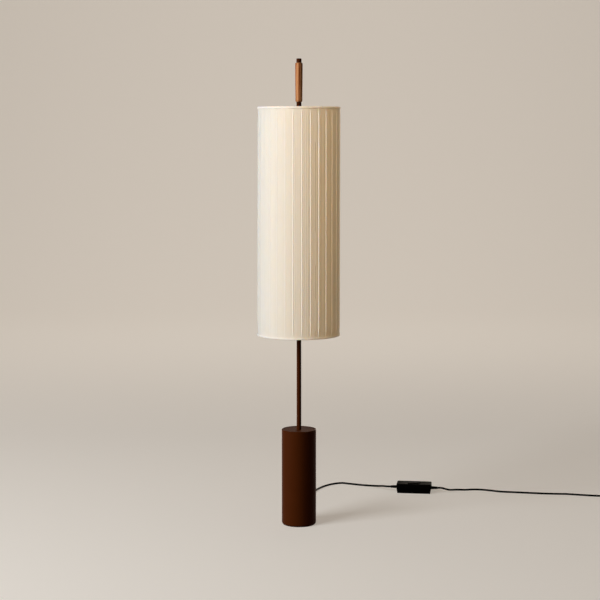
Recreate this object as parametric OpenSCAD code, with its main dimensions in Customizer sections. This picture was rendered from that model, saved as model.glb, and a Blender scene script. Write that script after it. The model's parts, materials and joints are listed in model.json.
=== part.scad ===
// Pleated drum shade floor lamp with a weighted base, a wooden carrying grip
// on top, a foot switch in its lead and a flat two-pin plug.
// Millimetres. The origin is the centre of the base's underside, on the floor.
// +Z is up and the front faces -Y.

/* [Base] */
// Outer diameter of the drum
base_d = 104; // [96:1:140]
// Height of the drum's rim above the floor
base_h = 292; // [250:1:360]
// Wall of the drum
base_wall = 2.6; // [1.6:0.1:5]
// Radius on the drum's upper and lower edges
base_edge_r = 1.2; // [0.4:0.1:1.5]
// Thickness of the drum's top under its recess
base_top_t = 4; // [3:0.1:8]
// Depth of the shallow recess in the drum's top
top_recess = 0.8; // [0.3:0.1:2]
// Width of the raised rim round that recess
top_rim_w = 3; // [1.6:0.1:8]
// Thickness of the felt pad
pad_t = 2.5; // [1.5:0.1:5]
// How far the felt pad is drawn in from the drum's side
pad_inset = 3.5; // [2:0.1:8]
// Thickness of the plate's flange, which the drum stands on
plate_flange_t = 2; // [1:0.1:4]
// How far that flange is drawn in from the drum's side
flange_inset = 1; // [0.4:0.1:1.4]
// Height of the plate's spigot inside the drum
plate_spigot_t = 2.5; // [1:0.1:5]
// Height of the cast weight
weight_h = 190; // [120:1:215]
// Diameter of the pocket in the weight's underside
pocket_d = 56; // [44:1:60]
// Height of that pocket
pocket_h = 38; // [34:1:60]
// Width of the cable channel from the pocket to the rear
channel_w = 22; // [20:0.5:28]
// Height of the cable channel
channel_h = 26; // [22:0.5:32]
// Diameter of the plate's screws
plate_screw_d = 5; // [4:0.5:6]
// Length of the plate's screws
plate_screw_l = 18; // [12:1:30]

/* [Stem] */
// Outer diameter of the stem tube
stem_d = 14; // [12:0.5:20]
// Wall of the stem tube
stem_wall = 1.5; // [1:0.1:2]
// Length of the stem tube
stem_l = 930; // [880:1:1100]
// Diameter of the threaded rod in the base and of the stud in the grip
thread_d = 9; // [8:0.5:9.5]
// Bore of the threaded rod, for the cable
rod_bore = 6; // [5:0.5:7]
// Height of the threaded bush in each end of the stem
bush_h = 20; // [12:1:30]
// Width across the flats of the rod's nut
rod_nut_af = 17; // [14:0.5:20]
// Height of the rod's nut
rod_nut_h = 8; // [5:0.5:10]
// Diameter of the rod's washer
rod_washer_d = 30; // [24:1:40]
// Thickness of the rod's washer
rod_washer_t = 2; // [1.5:0.1:3]
// How far the rod stands out of its nut
rod_proud = 3; // [1:0.5:6]
// Outer diameter of the spacer tube over the weight
spacer_d = 20; // [15:0.5:28]

/* [Light] */
// Height of the lower arm's underside
lower_arm_z = 690; // [640:1:760]
// Height of the upper arm's underside
upper_arm_z = 955; // [900:1:1010]
// Distance from the stem's centre to a bulb's centre
arm_reach = 46; // [44:0.5:60]
// Diameter of an arm's clamp collar
arm_collar_d = 27; // [24:0.5:30]
// Height of an arm's clamp collar
arm_collar_h = 15; // [12:0.5:20]
// Diameter of an arm's tube
arm_d = 10; // [8:0.5:11]
// Bore of an arm's tube, for its lead
arm_bore = 6; // [5:0.5:7]
// Diameter of the seat under a lampholder
holder_seat_d = 20; // [16:0.5:24]
// Diameter of the nipple that a lampholder screws on
nipple_d = 10; // [9:0.5:12]
// Length of that nipple
nipple_l = 8; // [5:0.5:9]
// Outer diameter of a lampholder
holder_d = 38; // [34:0.5:44]
// Height of a lampholder
holder_h = 55; // [50:0.5:70]
// Depth of a lampholder's socket
socket_depth = 28; // [27.5:0.1:32]
// Diameter of a bulb's screw cap
bulb_cap_d = 26.2; // [25.8:0.1:26.6]
// Height of a bulb's screw cap
bulb_cap_h = 27; // [25:0.1:27.5]
// Diameter of a bulb's glass
bulb_d = 60; // [45:1:66]
// Wall of a bulb's glass
bulb_wall = 1; // [0.6:0.1:1.5]
// Diameter of a grub screw
grub_d = 4; // [3:0.5:5]

/* [Shade] */
// Diameter of the shade over its pleats
shade_d = 249; // [220:1:320]
// Height of the shade from hem to hem
shade_h = 681.5; // [600:0.5:720]
// Number of main pleats round the shade
pleats = 30; // [24:1:40]
// Depth of a main pleat
pleat_depth = 2.6; // [1.6:0.1:4]
// How far a pleat's fold laps over the next pleat
pleat_lap = 3.2; // [1:0.1:4]
// Width of the rolled fold at a pleat's edge
fold_w = 5; // [3.5:0.1:6]
// Depth of the fine folds between the main ones
fine_depth = 0.35; // [0.1:0.05:0.6]
// Thickness of the pleated cloth
cloth_t = 0.5; // [0.3:0.05:0.8]
// Where the first pleat's edge lies, round from the front to the right
pleat_start = 4.1; // [0:0.1:12]
// Thickness of the stiff liner behind the pleats
liner_t = 0.8; // [0.5:0.1:1.5]
// Height of the hems at the top and foot
hem_h = 6; // [5.2:0.1:12]
// Thickness of a hem's tape
tape_t = 0.8; // [0.4:0.1:1.2]
// How far a hem lies inside the pleats' edges
hem_inset = 0.7; // [0.3:0.1:1.2]
// Diameter of the ring wire
ring_wire_d = 4; // [3:0.1:4.4]
// Diameter of the upright wires
strut_wire_d = 3; // [2:0.1:4]
// Number of upright wires
struts = 6; // [6:3:12]
// Diameter of the spider's arms
spider_wire_d = 3.6; // [3:0.1:5]
// Distance from the shade's upper edge down to the spider's arms
spider_drop = 35; // [15:0.5:60]
// Diameter of the spider's hub
hub_d = 30; // [24:1:40]
// Thickness of the spider's hub
hub_t = 4; // [4:0.1:6]
// Diameter of the seat washer under the hub
seat_washer_d = 26; // [20:1:36]
// Thickness of the seat washer
seat_washer_t = 2.5; // [1.5:0.1:4]

/* [Handle] */
// Height of the ferrule between the hub and the grip
ferrule_h = 47; // [30:1:90]
// Diameter of the ferrule
ferrule_d = 14.6; // [12:0.1:18]
// Diameter of the ferrule's foot flange
ferrule_flange_d = 22; // [20:0.5:30]
// Thickness of that flange
ferrule_flange_t = 2.5; // [1.5:0.1:4]
// Height of the wooden grip
grip_h = 115.5; // [90:0.5:150]
// Diameter of the grip at its fullest
grip_d = 22; // [20:0.1:30]
// How much slimmer the grip is at its foot
grip_taper = 1.4; // [0:0.1:3]
// Radius on the grip's ends
grip_end_r = 3.5; // [1:0.1:4]
// Diameter of the cap
cap_d = 15.2; // [13:0.1:19]
// Height of the cap
cap_h = 12; // [10:0.1:20]
// Radius on the cap's upper edge
cap_edge_r = 1.6; // [0.4:0.1:2.4]
// Depth of the cap's threaded hole
cap_hole = 7.5; // [5:0.1:8]

/* [Cord] */
// Diameter of the cord
cord_d = 6.4; // [5.5:0.1:7]
// Diameter of a lead inside the lamp
core_d = 4; // [3:0.1:4.5]
// Height of the cord's outlet in the drum
gland_z = 17; // [15:0.5:19]
// Diameter of the gland's flange
gland_flange_d = 18; // [15:0.5:20]
// Thickness of the gland's flange
gland_flange_t = 2.5; // [1.5:0.1:4]
// Diameter of the gland's body through the drum
gland_d = 12; // [10:0.5:13]
// Thickness of the nut on the gland
gland_nut_t = 5; // [3:0.5:6]
// Diameter of a strain relief at its root
relief_root_d = 11; // [10:0.1:11.6]
// Diameter of a strain relief at its tip
relief_tip_d = 8.6; // [8.2:0.1:9.4]
// Length of the strain relief on the base and on the plug
relief_l = 28; // [20:1:50]
// Length of the strain reliefs on the foot switch
switch_relief_l = 20; // [20:1:40]
// How far the switch's strain reliefs reach into it
relief_seat = 8; // [7:0.1:10]
// Radius of the coil at the middle of its turns
coil_r = 35; // [32:0.5:38]
// Step from one turn of the coil to the next
coil_step = 7.3; // [7.1:0.1:8.5]
// Turns in the coil's lower layer
lower_turns = 2.5; // [2.5:1:3.5]
// Turns in the coil's upper layer
upper_turns = 2.75; // [1.75:1:3.75]
// Width of the tie round the coil
tie_w = 10; // [5:0.5:16]
// Thickness of the tie
tie_t = 1; // [0.6:0.1:2]
// Length of cord from the coil to the plug
plug_lead_l = 62; // [50:1:120]

/* [Switch] */
// Length of the foot switch
switch_l = 114; // [108:1:130]
// Width of the foot switch
switch_w = 55; // [50:1:70]
// Height of the foot switch without its button
switch_h = 31; // [27:0.5:36]
// Height of the split between its two halves, on the cord's axis
split_z = 16; // [15:0.5:16.5]
// How far each side of the lower half draws in towards the floor
draft = 3; // [1:0.1:5]
// Radius on the corners seen from above
switch_corner_r = 5.5; // [4:0.5:12]
// Radius on the upper edges
switch_edge_r = 2; // [1:0.1:3.5]
// Wall of the switch's halves
switch_wall = 2.2; // [1.6:0.1:2.4]
// Length of the foot button
button_l = 40; // [32:1:46]
// Width of the foot button
button_w = 28; // [24:1:30]
// Corner radius of the button seen from above
button_corner_r = 6; // [3:0.1:10]
// How far the button stands up from the lid
button_rise = 2; // [1.5:0.1:4]
// How far the button travels
button_travel = 2.5; // [1.5:0.1:2.6]
// Diameter of the plunger under the button
plunger_d = 6; // [4:0.1:8]
// Diameter of the screw posts
post_d = 7; // [6:0.1:7.5]
// Diameter of the switch's screws
case_screw_d = 3; // [2.5:0.1:3.5]
// Diameter of the heads of those screws
case_screw_head_d = 5.4; // [5:0.1:6]
// Height of those heads
case_screw_head_t = 2.4; // [1.6:0.1:3]

/* [Plug] */
// Length of the plug's body
plug_l = 34; // [28:0.5:44]
// Width of the plug at its pins
plug_w = 35; // [30:0.5:37]
// Thickness of the plug at its pins
plug_t = 13.7; // [13:0.1:16]
// Diameter of a pin
pin_d = 4; // [3.9:0.1:4.9]
// Length of a pin out of the plug
pin_l = 19; // [18:0.1:20]
// Distance between the pins' centres
pin_gap = 18.6; // [18:0.1:19.4]
// Length of a pin's tapered tip
pin_tip = 1; // [0.5:0.1:1.2]
// How deep a pin is held in the plug
pin_hold = 9; // [6:0.5:12]

/* [Hidden] */

// Smoothness of round forms
$fn = 64;

// Named clearances
// Radial play of a turning part on its stud, socket or stem
run_fit = 0.05;
// Gap between pieces that move past each other
move_gap = 0.3;
// Play between fixed pieces that slip together
slip = 0.1;
// Play between the drum and what stands in it
drum_fit = 0.3;
// Small overshoot of a cut past a face
over = 1;

// Colours
bronze = "#4a2c18";
steel = "#9a9a98";
cast_iron = "#3b3b3d";
felt = "#26221f";
black_plastic = "#151515";
brass = "#b08d4a";
cotton = "#efe6d6";
liner_white = "#f7f4ec";
wire_white = "#e6e2d8";
wood = "#b5713c";
glass = "#f4f1e8";
nickel = "#c8c6c0";
copper = "#b86f3f";

// Base, from the floor up
base_r = base_d / 2;
drum_in_r = base_r - base_wall;
spigot_r = drum_in_r - drum_fit;
plate_z = pad_t;
drum_z = plate_z + plate_flange_t;
weight_z = drum_z + plate_spigot_t;
weight_top = weight_z + weight_h;
stem_z = base_h - top_recess;
drum_ceiling = stem_z - base_top_t;
pocket_top = weight_z + pocket_h;
screw_circle_r = (pocket_d / 2 + spigot_r) / 2;
plate_screw_head_d = 2 * plate_screw_d - 0.8;
plate_screw_head_t = plate_screw_d / 2;
rod_nut_top = pocket_top - rod_washer_t;
rod_foot = rod_nut_top - rod_nut_h - rod_proud;
thread_hole_d = thread_d + 2 * run_fit;
loose_hole_d = thread_d + 0.8;

// Cord outlet
gland_nut_d = gland_flange_d - 1;
gland_nut_y = sqrt(drum_in_r * drum_in_r - gland_nut_d * gland_nut_d / 4) - 0.05;
gland_foot_y = gland_nut_y - gland_nut_t - 1;
gland_face_y = base_r + gland_flange_t;
gland_tip_y = gland_face_y + relief_l;
cord_bore = cord_d + 2 * slip;

// Stem and what it carries
stem_bore = stem_d - 2 * stem_wall;
stem_top = stem_z + stem_l;
hub_z = stem_top + seat_washer_t + move_gap;
spider_z = hub_z + hub_t / 2;
shade_top = spider_z + spider_drop;
shade_foot = shade_top - shade_h;
ferrule_z = hub_z + hub_t + move_gap;
grip_z = ferrule_z + ferrule_h + move_gap;
cap_z = grip_z + grip_h + move_gap;
stud_top = cap_z + cap_hole - move_gap;
lead_z = arm_collar_h / 2;
holder_web = holder_h - socket_depth;
// How far the socket's rim stands above the bulb's cap
socket_gap = max(0, socket_depth - bulb_cap_h);

// Shade radii, from the pleats' edges inwards
shade_r = shade_d / 2;
valley_r = shade_r - pleat_depth;
cover_in_r = valley_r - cloth_t;
liner_r = cover_in_r - slip;
liner_in_r = liner_r - liner_t;
ring_r = liner_in_r - slip - ring_wire_d / 2;
cover_sides = 120;
cover_corner_r = cover_in_r / cos(180 / cover_sides);
hem_r = shade_r - hem_inset;
ring_depth = tape_t + slip + ring_wire_d / 2;

// Foot switch: where its middle stands on the floor and how it is turned
switch_at = [382, 422, 0];
switch_turn = -7.5;
along_switch = [cos(switch_turn), sin(switch_turn), 0];
switch_axis = switch_at + [0, 0, split_z];
inlet_tip = switch_axis - (switch_l / 2 + switch_relief_l) * along_switch;
outlet_tip = switch_axis + (switch_l / 2 + switch_relief_l) * along_switch;
post_x = switch_l / 2 - draft - switch_wall - post_d / 2;
post_y = switch_w / 2 - draft - switch_wall - post_d / 2;
lid_under = switch_h - switch_wall;
button_flange_t = 2;
case_head_top = case_screw_head_t + 0.5;
case_screw_hold = 6;
button_foot = lid_under - move_gap - button_flange_t;
block_l = 46;
block_w = 24;
block_h = split_z + 2;
boss_foot = block_h + button_travel + move_gap;
plunger_foot = block_h - 4;
plunger_hole_foot = plunger_foot - button_travel - move_gap;

// A pin is slimmer where the plug holds it
pin_root_d = pin_d - 0.6;

// Coil: where its middle lies, just past the right of the view
coil_at = [1050, 302];
coil_start_r = coil_r + lower_turns * coil_step / 2;
coil_turn_r = coil_start_r - lower_turns * coil_step;
coil_end_r = coil_turn_r + upper_turns * coil_step;
coil_z = tie_t + slip + cord_d / 2;
coil_rings = 24;
coil_turns = lower_turns + upper_turns;

// Plug: it lies flat on the floor, past the end of its lead
plug_tip = [coil_at.x + coil_end_r, coil_at.y - cord_d - plug_lead_l, plug_t / 2];

// The cord's route: x, y and the height of its underside above the floor
run_points = [
  [2, 150, 4], [6, 195, 0.5], [12, 245, 0], [22, 300, 0], [35, 360, 0], [48, 410, 0],
  [60, 445, 0], [73, 473, 0], [91, 502, 0], [115, 527, 0], [144, 541, 0], [172, 529, 0],
  [199, 516, 0], [225, 504, 0.4], [248, 490, 2.2], [266, 468, 6.3], [280, 446, 11.2]
];
tail_points = [
  [498, 418, 5], [526, 437, 1], [553, 439, 0], [580, 444, 0], [608, 441, 0], [640, 427, 0],
  [670, 412, 0], [715, 403, 0], [763, 393, 0], [811, 384, 0], [846, 380, 0], [882, 377, 0],
  [918, 367, 0], [954, 357, 0], [988, 349, 0.3]
];

// Finish of a swept cord
cord_sides = 8;
ring_gap = 17;

function on_floor(points) = [for (p = points) [p.x, p.y, p.z + cord_d / 2]];
function blend_point(a, b, c, d, t) =
  0.5 * (2 * b + (c - a) * t + (2 * a - 5 * b + 4 * c - d) * t * t
    + (3 * b - a - 3 * c + d) * t * t * t);
function before(p, i) = i == 0 ? 2 * p[0] - p[1] : p[i - 1];
function after(p, i) = i + 2 < len(p) ? p[i + 2] : 2 * p[i + 1] - p[i];
// A smooth curve through the points, with rings about one ring gap apart
function smooth_route(p) = concat(
  [for (i = [0 : len(p) - 2], n = max(1, round(norm(p[i + 1] - p[i]) / ring_gap)), s = [0 : n - 1])
    blend_point(before(p, i), p[i], p[i + 1], after(p, i), s / n)],
  [p[len(p) - 1]]);
function unit(v) = v / norm(v);
function heading(path, i) =
  unit(path[min(i + 1, len(path) - 1)] - path[max(i - 1, 0)]);
function smooth_step(t) = let (s = min(max(t, 0), 1)) s * s * (3 - 2 * s);
function coil_point(t) =
  let (r = t < lower_turns ? coil_start_r - coil_step * t : coil_turn_r + coil_step * (t - lower_turns),
    a = 90 - 360 * t,
    climb = smooth_step((t - lower_turns + 0.25) / 0.5))
  [coil_at.x + r * cos(a), coil_at.y + r * sin(a), coil_z + coil_step * climb];
// A straight cord diameter, the turns, and a straight cord diameter
coil_entry = coil_point(0) - [cord_d, 0, 0];
coil_exit = coil_point(coil_turns) - [0, cord_d, 0];
coil_turn_points = [for (i = [0 : coil_rings * coil_turns]) coil_point(i / coil_rings)];
coil_path = concat([coil_entry], coil_turn_points, [coil_exit]);
run_path = smooth_route(concat(
  [[0, gland_tip_y, gland_z], [0, gland_tip_y + 8, gland_z], [0, gland_tip_y + 25, gland_z - 3]],
  on_floor(run_points), [inlet_tip - 14 * along_switch, inlet_tip]));
tail_path = smooth_route(concat(
  [outlet_tip, outlet_tip + 14 * along_switch],
  on_floor(tail_points), [coil_entry - [22, 0, 0], coil_entry]));
plug_path = smooth_route([coil_exit, coil_exit - [0, 12, 0], plug_tip + [0, 14, 0], plug_tip]);
function path_length(p) =
  len(p) < 2 ? 0 : [for (i = [1 : len(p) - 1]) norm(p[i] - p[i - 1])] * [for (i = [2 : len(p)]) 1];
least_coil_gap = min([
  for (i = [0 : len(coil_turn_points) - 1], j = [i + 12 : len(coil_turn_points) - 1])
    if (j < len(coil_turn_points)) norm(coil_turn_points[i] - coil_turn_points[j])]) - cord_d;

// Shared shapes
module tube(d, bore, h) {
  difference() {
    cylinder(d = d, h = h);
    translate([0, 0, -over]) cylinder(d = bore, h = h + 2 * over);
  }
}

// A tube along a path, closed at both ends
module sweep(path, d, sides) {
  rings = len(path);
  points = [for (i = [0 : rings - 1], k = [0 : sides - 1])
    let (t = heading(path, i), side = unit(cross(t, [0, 0, 1])), up = cross(side, t), a = 360 * k / sides)
    path[i] + d / 2 * (cos(a) * side + sin(a) * up)];
  walls = [for (i = [0 : rings - 2], k = [0 : sides - 1], h = [0, 1])
    let (m = (k + 1) % sides, a = i * sides, b = a + sides)
    h == 0 ? [a + k, b + k, b + m] : [a + k, b + m, a + m]];
  caps = [for (k = [1 : sides - 2], h = [0, 1])
    let (e = (rings - 1) * sides)
    h == 0 ? [0, k, k + 1] : [e, e + k + 1, e + k]];
  polyhedron(points = points, faces = concat(walls, caps));
}

// Half of a ribbed strain relief's outline, from root to tip
function relief_outline(root_d, tip_d, length, bore) =
  let (ribs = 4, first = 0.12 * length, pitch = 0.8 * length / ribs)
  concat(
    [[bore / 2, 0], [root_d / 2, 0]],
    [for (i = [0 : ribs - 1], s = [0 : 3])
      let (z = first + pitch * (i + [0, 0.1, 0.45, 0.55][s]),
        r = root_d / 2 + (tip_d - root_d) / 2 * z / length,
        groove = s == 1 || s == 2 ? 0.6 : 0)
      [r - groove, z]],
    [[tip_d / 2 - 0.3, length], [bore / 2, length]]);

module relief(length) {
  rotate_extrude() polygon(relief_outline(relief_root_d, relief_tip_d, length, cord_bore));
}

// Places children so that their +Z points along +Y
module along_y(y, z) {
  translate([0, y, z]) rotate([-90, 0, 0]) children();
}

module rounded_plan(l, w, r) {
  square([l - 2 * r, w], center = true);
  square([l, w - 2 * r], center = true);
  for (x = [-1, 1], y = [-1, 1]) translate([x * (l / 2 - r), y * (w / 2 - r)]) circle(r = r);
}

// Base
module foot_pad() {
  color(felt) cylinder(r = base_r - pad_inset, h = pad_t);
}

module at_plate_screws() {
  for (a = [30, 150, 270]) rotate([0, 0, a]) translate([screw_circle_r, 0, plate_z]) children();
}

module plate_screw(play, tail) {
  cylinder(d1 = plate_screw_head_d + 2 * play, d2 = plate_screw_d + 2 * play, h = plate_screw_head_t);
  cylinder(d = plate_screw_d + 2 * play, h = plate_screw_l + tail);
}

module bottom_plate() {
  color(bronze) difference() {
    union() {
      translate([0, 0, plate_z]) cylinder(r = base_r - flange_inset, h = plate_flange_t);
      translate([0, 0, plate_z]) cylinder(r = spigot_r, h = plate_flange_t + plate_spigot_t);
    }
    at_plate_screws() plate_screw(slip, over);
  }
}

module bottom_plate_screws() {
  color(steel) at_plate_screws() difference() {
    plate_screw(0, 0);
    translate([0, 0, -over]) cylinder(d = plate_screw_d * 0.6, h = over + 1.6, $fn = 6);
  }
}

module base_weight() {
  color(cast_iron) difference() {
    translate([0, 0, weight_z]) cylinder(r = spigot_r, h = weight_h);
    translate([0, 0, weight_z - over]) cylinder(d = pocket_d, h = pocket_h + over);
    translate([0, 0, weight_z]) cylinder(d = loose_hole_d, h = weight_h + over);
    translate([-channel_w / 2, 0, weight_z - over]) cube([channel_w, base_r, channel_h + over]);
    at_plate_screws() cylinder(d = plate_screw_d + 2 * slip, h = plate_screw_l + over);
  }
}

// Outer outline of the drum, with rounded upper and lower edges
function edge_arc(x, z, r, from) = [for (a = [0 : 15 : 90]) [x + r * cos(from + a), z + r * sin(from + a)]];

module base_drum() {
  outline = concat(
    [[drum_in_r, drum_z]],
    edge_arc(base_r - base_edge_r, drum_z + base_edge_r, base_edge_r, -90),
    edge_arc(base_r - base_edge_r, base_h - base_edge_r, base_edge_r, 0),
    [[base_r - top_rim_w, base_h], [base_r - top_rim_w, stem_z], [loose_hole_d / 2, stem_z],
      [loose_hole_d / 2, drum_ceiling], [drum_in_r, drum_ceiling]]);
  color(bronze) difference() {
    rotate_extrude($fn = 128) polygon(outline);
    along_y(0, gland_z) cylinder(d = gland_d + 2 * slip, h = base_r + over);
  }
}

module tie_rod() {
  color(steel) translate([0, 0, rod_foot]) tube(thread_d, rod_bore, stem_z + bush_h - 2 - rod_foot);
}

module rod_nut() {
  color(steel) translate([0, 0, rod_nut_top - rod_nut_h]) difference() {
    cylinder(d = rod_nut_af / cos(30), h = rod_nut_h, $fn = 6);
    translate([0, 0, -over]) cylinder(d = thread_hole_d, h = rod_nut_h + 2 * over);
  }
}

module rod_washer() {
  color(steel) translate([0, 0, rod_nut_top]) tube(rod_washer_d, loose_hole_d, rod_washer_t);
}

module spacer_tube() {
  color(steel) translate([0, 0, weight_top]) tube(spacer_d, loose_hole_d, drum_ceiling - weight_top);
}

module cord_gland() {
  color(black_plastic) difference() {
    union() {
      along_y(gland_foot_y, gland_z) cylinder(d = gland_d, h = gland_face_y - gland_foot_y);
      along_y(base_r, gland_z) cylinder(d = gland_flange_d, h = gland_flange_t);
      along_y(gland_face_y, gland_z) relief(relief_l);
    }
    along_y(gland_foot_y - over, gland_z) cylinder(d = cord_bore, h = gland_tip_y - gland_foot_y);
  }
}

module gland_nut() {
  color(black_plastic) along_y(gland_nut_y - gland_nut_t, gland_z) difference() {
    cylinder(d = gland_nut_d, h = gland_nut_t, $fn = 6);
    translate([0, 0, -over]) cylinder(d = gland_d + 2 * slip, h = gland_nut_t + 2 * over);
  }
}

// The cord's sheath ends in the base, and its cores go on up the stem
module inner_lead() {
  bend_r = rod_foot - gland_z + 3;
  core_top = upper_arm_z + lead_z + core_d;
  color(black_plastic) {
    along_y(gland_foot_y - 6, gland_z) cylinder(d = cord_d, h = gland_tip_y - gland_foot_y + 6);
    along_y(bend_r, gland_z) cylinder(d = core_d, h = gland_foot_y - 6 - bend_r);
    translate([0, bend_r, gland_z + bend_r]) rotate([90, 0, 90]) rotate([0, 0, 180])
      rotate_extrude(angle = 90) translate([bend_r, 0]) circle(d = core_d);
    translate([0, 0, gland_z + bend_r]) cylinder(d = core_d, h = core_top - gland_z - bend_r);
  }
}

// Stem
module stem_tube() {
  color(bronze) difference() {
    translate([0, 0, stem_z]) tube(stem_d, stem_bore, stem_l);
    translate([0, 0, lower_arm_z + lead_z]) rotate([0, 90, 0]) cylinder(d = arm_bore, h = stem_d);
    translate([0, 0, upper_arm_z + lead_z]) rotate([0, -90, 0]) cylinder(d = arm_bore, h = stem_d);
  }
}

module bush(z) {
  color(brass) translate([0, 0, z]) tube(stem_bore - slip, thread_hole_d, bush_h);
}

module stem_foot_bush() {
  bush(stem_z);
}

module stem_top_bush() {
  bush(stem_top - bush_h);
}

module handle_stud() {
  color(steel) translate([0, 0, stem_top - bush_h]) cylinder(d = thread_d, h = stud_top - stem_top + bush_h);
}

module seat_washer() {
  color(steel) translate([0, 0, stem_top]) tube(seat_washer_d, thread_hole_d, seat_washer_t);
}

module handle_ferrule() {
  color(bronze) translate([0, 0, ferrule_z]) difference() {
    union() {
      cylinder(d = ferrule_flange_d, h = ferrule_flange_t);
      cylinder(d = ferrule_d, h = ferrule_h);
    }
    translate([0, 0, -over]) cylinder(d = thread_hole_d, h = ferrule_h + 2 * over);
  }
}

// Light
module lamp_arm(z, turn) {
  color(bronze) translate([0, 0, z]) rotate([0, 0, turn]) difference() {
    union() {
      cylinder(d = arm_collar_d, h = arm_collar_h);
      translate([0, 0, lead_z]) rotate([0, 90, 0]) cylinder(d = arm_d, h = arm_reach);
      translate([arm_reach, 0, 0]) cylinder(d = holder_seat_d, h = arm_collar_h);
      translate([arm_reach, 0, arm_collar_h]) cylinder(d = nipple_d, h = nipple_l);
    }
    translate([0, 0, -over]) cylinder(d = stem_d + 2 * slip, h = arm_collar_h + 2 * over);
    translate([0, 0, lead_z]) rotate([0, 90, 0]) cylinder(d = arm_bore, h = arm_reach);
    translate([arm_reach, 0, lead_z]) cylinder(d = arm_bore, h = arm_collar_h + nipple_l);
    translate([arm_reach, 0, lead_z]) sphere(d = arm_bore);
    along_y(-arm_collar_d, lead_z) cylinder(d = grub_d + 2 * slip, h = arm_collar_d);
  }
}

module lower_arm() {
  lamp_arm(lower_arm_z, 0);
}

module upper_arm() {
  lamp_arm(upper_arm_z, 180);
}

module at_each_arm() {
  translate([0, 0, lower_arm_z]) children();
  translate([0, 0, upper_arm_z]) rotate([0, 0, 180]) children();
}

module arm_grub_screws() {
  seat = stem_d / 2 + slip;
  length = arm_collar_d / 2 - seat - 0.5;
  color(steel) at_each_arm() along_y(-seat - length, lead_z) difference() {
    cylinder(d = grub_d, h = length);
    translate([0, 0, -over]) cylinder(d = grub_d / 2, h = over + 1.5, $fn = 6);
  }
}

module arm_leads() {
  color(copper) at_each_arm() {
    translate([core_d / 2, 0, lead_z]) rotate([0, 90, 0]) cylinder(d = core_d, h = arm_reach - core_d / 2);
    translate([arm_reach, 0, lead_z]) sphere(d = core_d);
    translate([arm_reach, 0, lead_z]) cylinder(d = core_d, h = arm_collar_h + nipple_l - lead_z);
  }
}

module lampholder() {
  r = holder_d / 2;
  socket_r = bulb_cap_d / 2 + move_gap;
  hole_r = nipple_d / 2 + slip;
  outline = [
    [hole_r, 0], [holder_seat_d / 2 + 1, 0], [r - 3, 5], [r, 13], [r, 24], [r - 0.8, 24.8], [r - 0.8, 27],
    [r, 27.8], [r, holder_h - 1], [r - 1, holder_h], [socket_r, holder_h], [socket_r, holder_web],
    [0, holder_web], [0, nipple_l + 1], [hole_r, nipple_l + 1]];
  color(liner_white) translate([arm_reach, 0, arm_collar_h]) rotate_extrude() polygon(outline);
}

module lower_lampholder() {
  translate([0, 0, lower_arm_z]) lampholder();
}

module upper_lampholder() {
  translate([0, 0, upper_arm_z]) rotate([0, 0, 180]) lampholder();
}

module at_bulb_foot() {
  translate([arm_reach, 0, arm_collar_h + holder_web + move_gap]) children();
}

module bulb_cap() {
  r = bulb_cap_d / 2;
  outline = [[0, 0], [4.5, 0], [5, 1.5], [9.5, 4], [r - 0.6, 6.5], [r, 8], [r, bulb_cap_h], [0, bulb_cap_h]];
  color(nickel) at_bulb_foot() rotate_extrude() polygon(outline);
}

// Outer outline of the glass: neck, shoulder and dome, drawn in by a given wall
function bulb_outline(wall) =
  let (r = bulb_d / 2, neck = bulb_cap_d / 2, waist = 0.72 * bulb_d, foot = bulb_cap_h + socket_gap)
  concat(
    [for (i = [0 : 8]) [neck + (r - neck) * smooth_step(i / 8) - wall, foot + 4 + waist * i / 8]],
    [for (a = [10 : 10 : 90]) [(r - wall) * cos(a), foot + 4 + waist + (r - wall) * sin(a)]]);

module bulb_glass() {
  foot = bulb_cap_h;
  neck = bulb_cap_d / 2;
  inner = bulb_outline(bulb_wall);
  color(glass) at_bulb_foot() rotate_extrude() polygon(concat(
    [[neck - bulb_wall, foot], [neck, foot]],
    bulb_outline(0),
    [for (i = [len(inner) - 1 : -1 : 0]) inner[i]]));
}

module lower_bulb_cap() {
  translate([0, 0, lower_arm_z]) bulb_cap();
}

module lower_bulb_glass() {
  translate([0, 0, lower_arm_z]) bulb_glass();
}

module upper_bulb_cap() {
  translate([0, 0, upper_arm_z]) rotate([0, 0, 180]) bulb_cap();
}

module upper_bulb_glass() {
  translate([0, 0, upper_arm_z]) rotate([0, 0, 180]) bulb_glass();
}

// Shade
// A point at a radius and an angle, round from the front to the right
function round_front(r, a) = [r * sin(a), -r * cos(a)];

// One knife pleat: it starts under the last pleat's fold, runs flat with
// fine folds, rolls up to its edge and turns back under itself
function pleat_outline(k) =
  let (pitch = 360 / pleats,
    mm = 360 / (2 * PI * shade_r),
    lap = pleat_lap * mm,
    roll = fold_w * mm,
    start = pleat_start + pitch * (k - 1),
    flat = pitch - roll)
  concat(
    [round_front(valley_r, start - lap)],
    [for (j = [0 : 5]) round_front(valley_r + 0.1 + fine_depth * (j % 2), start + flat * (0.06 + 0.17 * j))],
    [for (s = [0.25, 0.5, 0.75])
      round_front(valley_r + 0.2 + (pleat_depth - 0.2) * smooth_step(s * 1.12), start + flat + roll * s)],
    [round_front(shade_r, start + pitch - 0.35 * mm),
      round_front(shade_r - cloth_t, start + pitch),
      round_front(shade_r - 2 * cloth_t, start + pitch - 0.35 * mm)]);

module shade_cover() {
  outline = [for (k = [0 : pleats - 1]) each pleat_outline(k)];
  color(cotton) translate([0, 0, shade_foot + hem_h]) linear_extrude(shade_h - 2 * hem_h) difference() {
    polygon(outline);
    polygon([for (i = [0 : cover_sides - 1]) round_front(cover_corner_r, 360 * i / cover_sides)]);
  }
}

module shade_liner() {
  edge = tape_t + slip;
  color(liner_white) translate([0, 0, shade_foot + edge])
    tube(2 * liner_r, 2 * liner_in_r, shade_h - 2 * edge, $fn = 180);
}

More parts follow.
